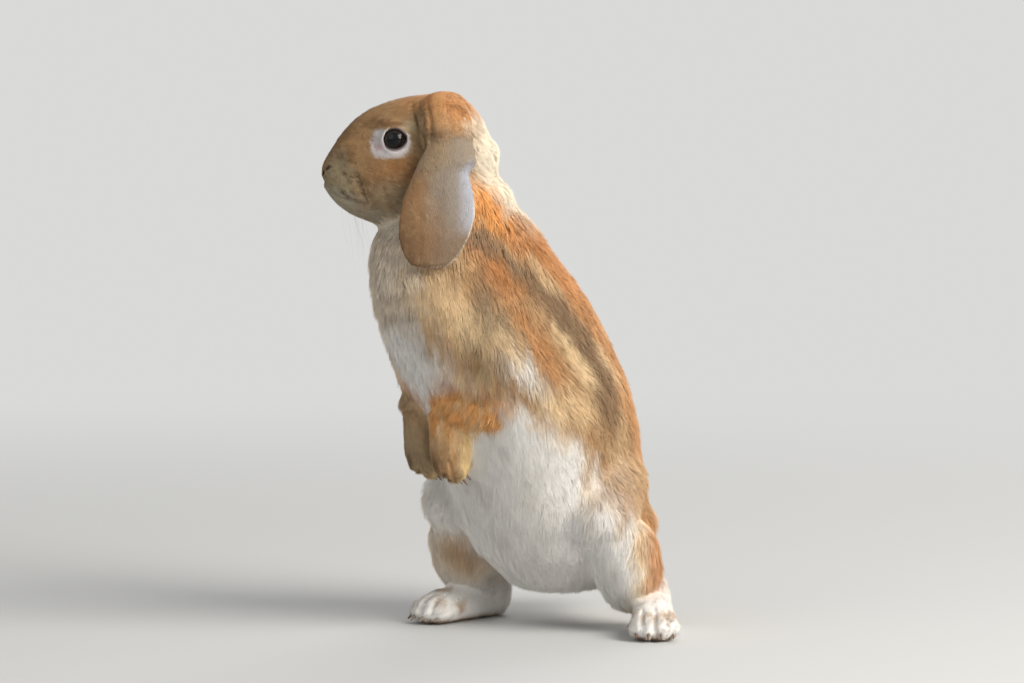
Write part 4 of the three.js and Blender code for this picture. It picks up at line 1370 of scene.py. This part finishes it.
def whisker_tree(material):
    """Geometry Nodes: a tapered, drooping hair at every point, along the point's own way and length."""
    tree = bpy.data.node_groups.new("whiskers", "GeometryNodeTree")
    tree.interface.new_socket("Geometry", in_out="INPUT", socket_type="NodeSocketGeometry")
    for name, kind in (("Thickness", "Float"), ("Droop", "Float"), ("Segments", "Int")):
        tree.interface.new_socket(name, in_out="INPUT", socket_type=f"NodeSocket{kind}")
    tree.interface.new_socket("Geometry", in_out="OUTPUT", socket_type="NodeSocketGeometry")
    graph = Graph(tree)

    def named(name, kind="FLOAT"):
        return graph.add("GeometryNodeInputNamedAttribute", data_type=kind, Name=name).outputs["Attribute"]

    def scaled(*values):
        """The product of some values."""
        return functools.reduce(lambda a, b: graph.maths("MULTIPLY", a, b), values)

    given, result = graph.add("NodeGroupInput").outputs, graph.add("NodeGroupOutput")
    line = graph.add("GeometryNodeCurvePrimitiveLine", End=(0.0, 0.0, 1.0)).outputs["Curve"]
    line = graph.add("GeometryNodeResampleCurve", Curve=line, Count=given["Segments"]).outputs["Curve"]
    aim = graph.add("FunctionNodeAlignRotationToVector", axis="Z", Vector=named("way", "FLOAT_VECTOR"))
    placed = graph.add("GeometryNodeInstanceOnPoints", Points=given["Geometry"], Instance=line,
                       Rotation=aim.outputs["Rotation"], Scale=named("long"))
    real = graph.add("GeometryNodeRealizeInstances", Geometry=placed.outputs["Instances"])
    part = graph.add("GeometryNodeSplineParameter").outputs["Factor"]
    sag = scaled(graph.maths("POWER", part, 1.8), named("long"), given["Droop"])
    down = graph.add("ShaderNodeVectorMath", named("sag", "FLOAT_VECTOR"), operation="SCALE", Scale=sag)
    bent = graph.add("GeometryNodeSetPosition", Geometry=real.outputs["Geometry"],
                     Offset=down.outputs["Vector"])
    circle = graph.add("GeometryNodeCurvePrimitiveCircle", Resolution=5, Radius=1.0)
    taper = scaled(graph.maths("POWER", graph.maths("SUBTRACT", 1.04, part), 0.7), given["Thickness"])
    tube = graph.add("GeometryNodeCurveToMesh", Curve=bent.outputs["Geometry"], Scale=taper, Fill_Caps=True)
    graph.fill(tube, Profile_Curve=circle.outputs["Curve"])
    dressed = graph.add("GeometryNodeSetMaterial", Geometry=tube.outputs["Mesh"], Material=material)
    graph.fill(result, Geometry=dressed.outputs["Geometry"])
    return tree


WHISKER_SEED = 7
# A whisker's radius in metres, its sag as a share of its length, and the points along it.
WHISKER_SHAPE = {"Thickness": 0.00004, "Droop": 0.55, "Segments": 18}


def make_whiskers(field, materials):
    """Long hairs that droop from the pads, and a few over the eyes."""
    chance = np.random.default_rng(WHISKER_SEED)
    places, ways, lengths, sags = [], [], [], []
    for sign in (1.0, -1.0):
        for forward, up in whisker_places():
            places.append(outer_side(field, forward, up, sign, 0.4))
            row = up / -20.0
            way = (0.15 - 0.55 * chance.random()) * HEAD_FORWARD + sign * (0.6 - 0.2 * row) * HEAD_LEFT
            ways.append(unit(way - (0.35 + 0.5 * row + 0.15 * chance.random()) * UP))
            lengths.append(0.022 + 0.016 * chance.random())
            sags.append(-UP - (0.15 + 0.5 * chance.random()) * HEAD_FORWARD)
        for forward, up in ((29.0, 27.0), (25.0, 28.0)):
            places.append(outer_side(field, forward, up, sign, 0.4))
            way = 0.25 * HEAD_FORWARD + sign * 0.45 * HEAD_LEFT
            ways.append(unit(way + (0.8 + 0.2 * chance.random()) * UP))
            lengths.append(0.013 + 0.006 * chance.random())
            sags.append(-0.6 * HEAD_FORWARD)
    mesh = bpy.data.meshes.new("whisker_roots")
    mesh.from_pydata([tuple(p * MM) for p in places], [], [])
    for name, values in (("way", ways), ("sag", sags)):
        mesh.attributes.new(name, "FLOAT_VECTOR", "POINT").data.foreach_set(
            "vector", np.array(values, np.float32).ravel())
    mesh.attributes.new("long", "FLOAT", "POINT").data.foreach_set("value", np.array(lengths, np.float32))
    source = shown("whisker_roots", mesh)
    tree = whisker_tree(materials["whisker"])
    grown = source.modifiers.new("whiskers", "NODES")
    grown.node_group = tree
    names = {item.name: item.identifier for item in tree.interface.items_tree if item.in_out == "INPUT"}
    for name, value in WHISKER_SHAPE.items():
        grown[names[name]] = value
    result = bpy.data.meshes.new_from_object(source.evaluated_get(bpy.context.evaluated_depsgraph_get()))
    bpy.data.objects.remove(source)
    result.polygons.foreach_set("use_smooth", np.full(len(result.polygons), True))
    whiskers = shown("whiskers", result)
    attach(whiskers, "root")


# ---------------------------------------------------------------- materials


class Graph:
    """A node tree and short ways to add nodes to it."""

    def __init__(self, tree):
        self.nodes, self.links = tree.nodes, tree.links

    def put(self, socket, value):
        """Link a socket to another node's output, or give it a value."""
        if hasattr(value, "links"):
            self.links.new(value, socket)
        else:
            socket.default_value = value

    def fill(self, node, **values):
        """Put values to a node's inputs by name, with _ for a space."""
        for name, value in values.items():
            self.put(node.inputs[name.replace("_", " ")], value)

    def add(self, kind, *values, **named):
        """A new node. Lower case names are its settings, others its inputs; values fill the first inputs."""
        node = self.nodes.new(kind)
        for name, value in named.items():
            if name.islower():
                setattr(node, name, value)
        for socket, value in zip(node.inputs, values):
            self.put(socket, value)
        self.fill(node, **{name: value for name, value in named.items() if not name.islower()})
        return node

    def maths(self, operation, *values):
        return self.add("ShaderNodeMath", *values, operation=operation).outputs[0]


class Paint(Graph):
    """A material, its shader and its nodes."""

    def __init__(self, name):
        self.material = bpy.data.materials.new(name)
        self.material.use_nodes = True
        super().__init__(self.material.node_tree)
        self.shader = self.nodes["Principled BSDF"]

    def attribute(self, name, output="Color"):
        return self.add("ShaderNodeAttribute", attribute_name=name).outputs[output]

    def hair(self, group, **values):
        return self.add("ShaderNodeGroup", node_tree=group, **values).outputs

    def noise(self, place, size, detail):
        return self.add("ShaderNodeTexNoise", Vector=place, Scale=size, Detail=detail).outputs["Fac"]

    def blend(self, amount, first, second):
        mixed = self.add("ShaderNodeMix", data_type="RGBA", Factor=amount, A=first, B=second)
        return mixed.outputs["Result"]

    def relief(self, height, strength, depth):
        bump = self.add("ShaderNodeBump", Height=height, Strength=strength, Distance=depth)
        return bump.outputs["Normal"]


def colour4(colour):
    return (*map(float, colour), 1.0)


def hair_shade_group():
    """Shade of hair, dark at its root and lighter at its tip, with fine streaks; its roughness and relief."""
    tree = bpy.data.node_groups.new("hair shade", "ShaderNodeTree")
    inputs = {
        "Along": 1.0, "Root Shade": 0.90, "Tip Shade": 1.03, "Streak Size": 900.0, "Streak Amount": 0.16,
    }
    tree.interface.new_socket("Colour", in_out="INPUT", socket_type="NodeSocketColor")
    for name, value in inputs.items():
        made = tree.interface.new_socket(name, in_out="INPUT", socket_type="NodeSocketFloat")
        made.default_value = value
    for name, kind in (("Colour", "Color"), ("Roughness", "Float"), ("Height", "Float")):
        tree.interface.new_socket(name, in_out="OUTPUT", socket_type=f"NodeSocket{kind}")
    graph = Graph(tree)
    given, result = graph.add("NodeGroupInput").outputs, graph.add("NodeGroupOutput")
    place = graph.add("ShaderNodeTexCoord").outputs["Object"]
    drawn_out = graph.add("ShaderNodeMapping", Vector=place, Scale=(1.0, 1.0, 0.35)).outputs["Vector"]
    noise = graph.add("ShaderNodeTexNoise", Vector=drawn_out, Scale=given["Streak Size"], Detail=3.0)
    streak = noise.outputs["Fac"]
    shade = graph.add("ShaderNodeMapRange", Value=given["Along"], To_Min=given["Root Shade"],
                      To_Max=given["Tip Shade"]).outputs["Result"]
    vary = graph.maths("MULTIPLY_ADD", graph.maths("SUBTRACT", streak, 0.5), given["Streak Amount"], 1.0)
    both = graph.maths("MULTIPLY", shade, vary)
    tinted = graph.add("ShaderNodeVectorMath", given["Colour"], operation="SCALE", Scale=both)
    rough = graph.add("ShaderNodeMapRange", Value=streak, To_Min=0.62, To_Max=0.86)
    graph.fill(result, Colour=tinted.outputs["Vector"], Roughness=rough.outputs["Result"], Height=streak)
    return tree


def make_materials():
    """The finishes of the model, by name. Coat, skin, lids and whiskers share the shade of hair."""
    hair = hair_shade_group()

    coat = Paint("rabbit coat")
    shade = coat.hair(hair, Colour=coat.attribute("coat"), Along=coat.attribute("along", "Fac"))
    coat.fill(coat.shader, Base_Color=shade["Colour"], Roughness=shade["Roughness"], Sheen_Weight=0.08,
              Sheen_Roughness=0.5, Specular_IOR_Level=0.25)
    skin = Paint("skin under the coat")
    shade = skin.hair(hair, Colour=skin.attribute("coat"), Along=0.5, Streak_Size=1500.0, Streak_Amount=0.5)
    skin.fill(skin.shader, Base_Color=shade["Colour"], Roughness=shade["Roughness"],
              Normal=skin.relief(shade["Height"], 0.6, 0.0006), Specular_IOR_Level=0.2)
    lid = Paint("eyelid skin")
    shade = lid.hair(hair, Colour=lid.attribute("coat"), Along=0.95, Streak_Size=2200.0, Streak_Amount=0.3)
    lid.fill(lid.shader, Base_Color=shade["Colour"], Roughness=0.38,
             Normal=lid.relief(shade["Height"], 0.4, 0.0003))
    whisker = Paint("whisker hair")
    shade = whisker.hair(hair, Colour=colour4(WHISKER), Along=1.0, Streak_Amount=0.2)
    whisker.fill(whisker.shader, Base_Color=shade["Colour"], Roughness=0.35)
    return {
        "coat": coat.material, "skin": skin.material, "lid": lid.material, "whisker": whisker.material,
        "eye": eye_material(), "claw": claw_material(),
    }


def eye_material():
    """Wide pupil in a dark brown iris with fine rays, under a wet clear coat."""
    eye = Paint("eye")
    reach, turn = eye.attribute("from_pupil", "Fac"), eye.attribute("round", "Fac")
    spot = eye.add("ShaderNodeCombineXYZ", turn, eye.maths("MULTIPLY", reach, 0.06)).outputs[0]
    rays = eye.noise(spot, 16.0, 4.0)
    iris = eye.blend(rays, colour4(dye(18, 12, 10)), colour4(dye(42, 27, 19)))
    band = eye.add("ShaderNodeValToRGB", Fac=eye.maths("DIVIDE", reach, EYE_RADIUS))
    marks = band.color_ramp.elements
    marks[0].position, marks[0].color = 0.50, (0, 0, 0, 1)
    marks[1].position, marks[1].color = 0.57, (1, 1, 1, 1)
    marks.new(0.84).color = (0.7, 0.7, 0.7, 1)
    marks.new(0.93).color = (0.10, 0.10, 0.10, 1)
    colour = eye.blend(band.outputs["Color"], colour4(dye(8, 7, 8)), iris)
    rough = eye.add("ShaderNodeMapRange", Value=rays, To_Min=0.12, To_Max=0.3).outputs["Result"]
    eye.fill(eye.shader, Base_Color=colour, Roughness=rough, Coat_Weight=0.7, Coat_Roughness=0.07,
             Coat_IOR=1.36, Specular_IOR_Level=0.05)
    return eye.material


def claw_material():
    """Dark horn, finely mottled."""
    claw = Paint("claw horn")
    grain = claw.noise(claw.add("ShaderNodeTexCoord").outputs["Object"], 900.0, 4.0)
    horn = claw.blend(grain, colour4(dye(70, 52, 42)), colour4(dye(148, 122, 100)))
    claw.fill(claw.shader, Base_Color=horn, Roughness=0.4, Normal=claw.relief(grain, 0.3, 0.0002))
    return claw.material


# ---------------------------------------------------------------- the model, put together

place_camera()
stage_and_lights()
materials = make_materials()
field = sculpt(build_field())
points, faces = surface(field, adaptivity=0.008)
skin = made_mesh("skin", points, faces)
normals, areas = skin_normals(points, faces)
give_colour(skin, coat_colours(points, normals, weights_at(points)))
skin.data.materials.append(materials["skin"])
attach(skin, "root")
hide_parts(*itertools.chain(*FLESH.values()))
coat_pieces(points, faces, materials)
for side_name, sign in (("left", 1.0), ("right", -1.0)):
    make_eye(side_name, sign, materials)
make_whiskers(field, materials)
for node in CLAWS:
    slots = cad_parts[node].material_slots
    for slot in slots:
        slot.material = materials["claw"]
